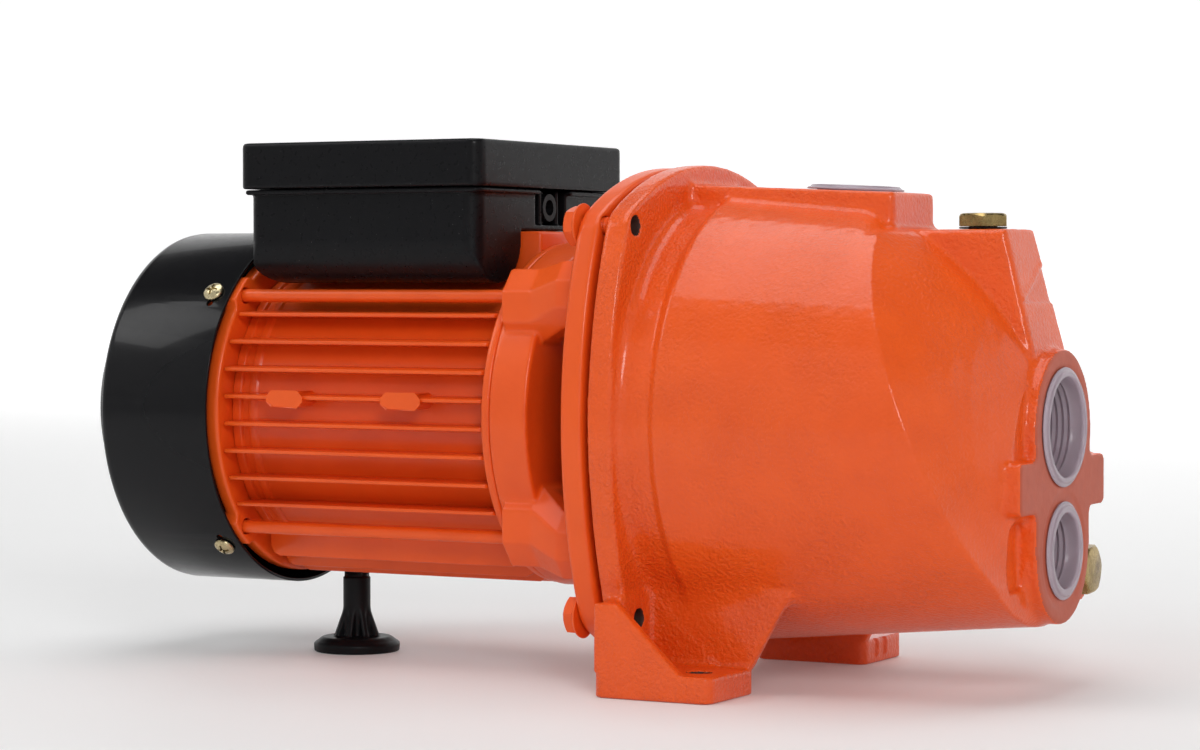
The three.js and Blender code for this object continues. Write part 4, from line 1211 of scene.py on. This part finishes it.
def motor_foot():
    low, high = span("motor_foot")
    middle = (low.x + high.x) / 2
    f = Field((middle - 17.1, -17.1, FLOOR), (middle + 17.1, 17.1, high.z), 0.45)
    x = f.x - middle
    radius = np.sqrt(x * x + f.y * f.y)
    pad = smooth_max(radius - 17.1 + np.maximum(-95.5 - f.z, 0) * 0.25, slab(f.z, FLOOR, -94), 1.6)
    top = smooth_max(radius - 17.1 + 1.1 * np.maximum(f.z + 94.8, 0), slab(f.z, FLOOR, -92), 1.0)
    stem = both(radius - 5.5, slab(f.z, FLOOR, -68))
    body = smooth_min(smooth_min(pad, top, 1), stem, 1.2)
    flare = 5.0 + 5.0 * np.clip((-79.5 - f.z) / 13.5, 0, 1)
    for i in range(4):
        turn = i * math.pi / 4 + 0.2
        across = np.abs(x * math.sin(turn) - f.y * math.cos(turn))
        rib = smooth_max(across - 1.3, radius - flare, 0.8)
        body = smooth_min(body, both(rib, slab(f.z, -93, -79)), 0.8)
    neck = both(radius - 4.6, slab(f.z, -70, -66.6))
    clip = both(rectangle(x, f.y, 4, 3.5, 0.6), slab(f.z, -69, -58.5))
    body = either(body, neck, clip)
    return f.mesh("motor_foot_post", both(body, FLOOR - f.z))


show(motor_foot(), "foot_plastic", "motor_foot")

# ---------------------------------------------------------------- bolts, plugs and caps


def hexagon(name, x0, x1, corner, dome, turn=0.0):
    """A hexagon head along X, from its seat to its outer face, with a chamfered top."""
    rings = []
    flat = corner * math.cos(math.pi / 6)
    steps = 48
    outward = math.copysign(1, x1 - x0)
    for i in range(steps):
        a = 2 * math.pi * i / steps
        radius = flat / math.cos(a % (math.pi / 3) - math.pi / 6)
        drop = (radius - flat) * math.tan(math.radians(28))
        profile = [
            (x0, AXIS), (x0, radius), (x1 - outward * (dome + drop), radius),
            (x1 - outward * dome * 0.4, (radius + flat * 2) / 3 - 0.3), (x1, flat * 0.84), (x1, AXIS),
        ]
        rings.append([(x, r * math.cos(a + turn), r * math.sin(a + turn)) for x, r in profile])
    return tidy(new_object(name, *loft(rings, closed=True)), 28)


def flange_bolt(number, side, up):
    seat = BRACKET_FLANGE[0] - 0.3
    head = hexagon("head", seat - 1.5, seat - 5.8, 7.5, 0.6, turn=0.3 * number)
    top = seat - 1.7
    collar = [(seat, AXIS), (seat, 8.4, 0.3), (seat - 0.9, 8.2, 0.5), (top, 6.6, 0.6), (top, AXIS)]
    shank = thread(seat - 0.5, 5.6, 1.25, 2.7, 3.2)
    bolt = tidy(joined(f"bolt_{number}", [head, lathe("collar", collar, 48), shank]), 35)
    moved(bolt, shifted(y=side * BOLT.y, z=up * BOLT.z))
    return show(bolt, "motor_paint", f"flange_bolt_{number}")


for number, (side, up) in enumerate(CORNERS, 1):
    flange_bolt(number, side, up)


def hex_plug(name, turn):
    head = hexagon("head", 1.2, 6.0, 9.8, 0.7, turn=turn)
    return tidy(joined(name, [head, thread(-10, 1.3, 1.337, 4.9, 5.6)]), 30)


def washer(name):
    return lathe(name, [(0.3, 6.2), (0.3, 8.6, 0.3), (0.9, 8.8, 0.3), (0.9, 6.2)], 48)


PRIMING_PLACE = shifted(PRIMING.x, 0, PRIMING.top) @ UPRIGHT
DRAIN_PLACE = shifted(DRAIN.seat, DRAIN.y, DRAIN.z)
for name, place, turn in (("priming_plug", PRIMING_PLACE, 0.35), ("drain_plug", DRAIN_PLACE, 0.1)):
    show(moved(hex_plug(name + "_hex", turn), place), "brass", name)
    show(moved(washer(name + "_seal"), place), "rubber", name + "_washer")


def port_cap(name, bore, rim):
    """A thin cup pushed into a port, with moulded rings down its wall and a rim on the port."""
    outer = bore - 0.5
    inner = outer - 1.2
    rings = [-2.6 - 2.3 * i for i in range(5)]
    profile = [(-15, AXIS), (-15, outer - 1.2, 1.2)]
    for x in reversed(rings):
        profile += [(x - 1.15, outer - 0.9), (x, outer - 0.1)]
    profile += [(0.3, outer - 0.4), (0.3, rim, 0.3), (0.9, rim, 0.3), (1.3, rim - 1.2, 0.4)]
    profile += [(2.0, rim - 1.7, 0.5), (2.0, inner + 0.5, 0.5), (1.2, inner + 0.1, 0.3)]
    for x in rings:
        profile += [(x, inner), (x - 1.15, inner - 0.75)]
    profile += [(-13.8, inner - 0.9, 0.8), (-13.8, AXIS)]
    return lathe(name, profile, 96, sharp=60)


BOSS_TILT = Matrix.Rotation(math.atan(BOSS_TOP[2]), 4, "Y")
boss_height = BOSS_TOP[1] - BOSS_TOP[2] * (DISCHARGE.x - BOSS_TOP[0])
SPOT = PLATE_FACE - SPOT_DEPTH
TOP_PLACE = shifted(DISCHARGE.x, 0, boss_height) @ BOSS_TILT @ UPRIGHT
for name, node, port, rim, place in (
    ("upper_cap", "suction_cap", SUCTION, 21.6, shifted(SPOT, 0, SUCTION.z)),
    ("lower_cap", "pressure_cap", PRESSURE, 17.8, shifted(SPOT, 0, PRESSURE.z)),
    ("top_cap", "discharge_cap", DISCHARGE, 18, TOP_PLACE),
):
    show(moved(port_cap(name, port.bore, rim), place), "milky_plastic", node)

# ---------------------------------------------------------------- pieces kept from the frame

for row in frame["record"]["subparts"]:
    node = frame["nodes"][row["node"]]
    if not node.hide_render:
        node.data.materials.clear()
        node.data.materials.append(FINISH[row["material_slot"]])

# ---------------------------------------------------------------- studio


def studio():
    """A pale floor that curves up into a wall all round, far from the pump and open from below."""
    reach, bend, height = 9.0, 2.5, 7.0
    steps = 64
    profile = [(0.5, 0.0), (reach - bend, 0.0)]
    for i in range(1, 13):
        turn = i / 12 * math.pi / 2
        profile.append((reach - bend + bend * math.sin(turn), bend - bend * math.cos(turn)))
    profile.append((reach, height))
    bm = bmesh.new()
    rings = []
    for radius, z in profile:
        turns = [2 * math.pi * i / steps for i in range(steps)]
        rings.append([bm.verts.new((radius * math.cos(t), radius * math.sin(t), z)) for t in turns])
    bm.faces.new(rings[0])
    for low, high in zip(rings, rings[1:]):
        for i in range(steps):
            j = (i + 1) % steps
            bm.faces.new((low[i], high[i], high[j], low[j]))
    mesh = bpy.data.meshes.new("floor")
    bm.to_mesh(mesh)
    bm.free()
    mesh.shade_smooth()
    floor = linked("floor", mesh)
    p = Paint("floor_paint")
    place = p.node("SeparateXYZ", Vector=p.place).outputs
    behind = p.ramp(place["Y"], 0.2, 2.0, 0.08, 0.62)
    radius = p.length(place["X"], place["Y"])
    glow = p.math("MAXIMUM", behind, p.ramp(radius, 1.6, 5.0, 0.0, 0.2))
    above = p.math("SUBTRACT", 1.0, p.node("NewGeometry").outputs["Backfacing"])
    p.set(
        Base_Color=rgb(0.8, 0.8, 0.8), Roughness=0.6, Specular_IOR_Level=0.2, Alpha=above,
        Emission_Color=rgb(1, 1, 1), Emission_Strength=glow,
    )
    floor.data.materials.append(p.material)


TARGET = (0.0, 0.0, 0.1)  # where every light points


def soft_light(name, place, size, power):
    light = bpy.data.lights.new(name, "AREA")
    light.shape = "RECTANGLE"
    light.size, light.size_y = size
    light.energy = power
    obj = linked(name, light)
    obj.location = place
    obj.rotation_euler = (Vector(TARGET) - Vector(place)).to_track_quat("-Z", "Y").to_euler()


def world(strength):
    made = bpy.data.worlds.new("studio")
    made.use_nodes = True
    background = made.node_tree.nodes["Background"]
    background.inputs["Color"].default_value = rgb(1, 1, 1)
    background.inputs["Strength"].default_value = strength
    bpy.context.scene.world = made


def camera():
    azimuth, elevation = math.radians(28.37), math.radians(1.70)
    data = bpy.data.cameras.new("camera")
    data.sensor_width = 36
    data.lens = 98.06
    obj = linked("camera", data)
    obj.location = (0.6074, -1.1122, 0.1504)
    flat = math.cos(elevation)
    view = Vector((-math.sin(azimuth) * flat, math.cos(azimuth) * flat, -math.sin(elevation)))
    obj.rotation_euler = view.to_track_quat("-Z", "Y").to_euler()
    bpy.context.scene.camera = obj


studio()
world(0.06)
soft_light("key", (1.1, -1.5, 0.9), (0.5, 0.5), 10)
soft_light("left", (-1.4, -0.9, 1.5), (0.8, 0.8), 6.5)
soft_light("top", (-0.1, 0.0, 1.8), (1.9, 1.1), 17.5)
camera()
bpy.context.scene.view_settings.view_transform = "Standard"
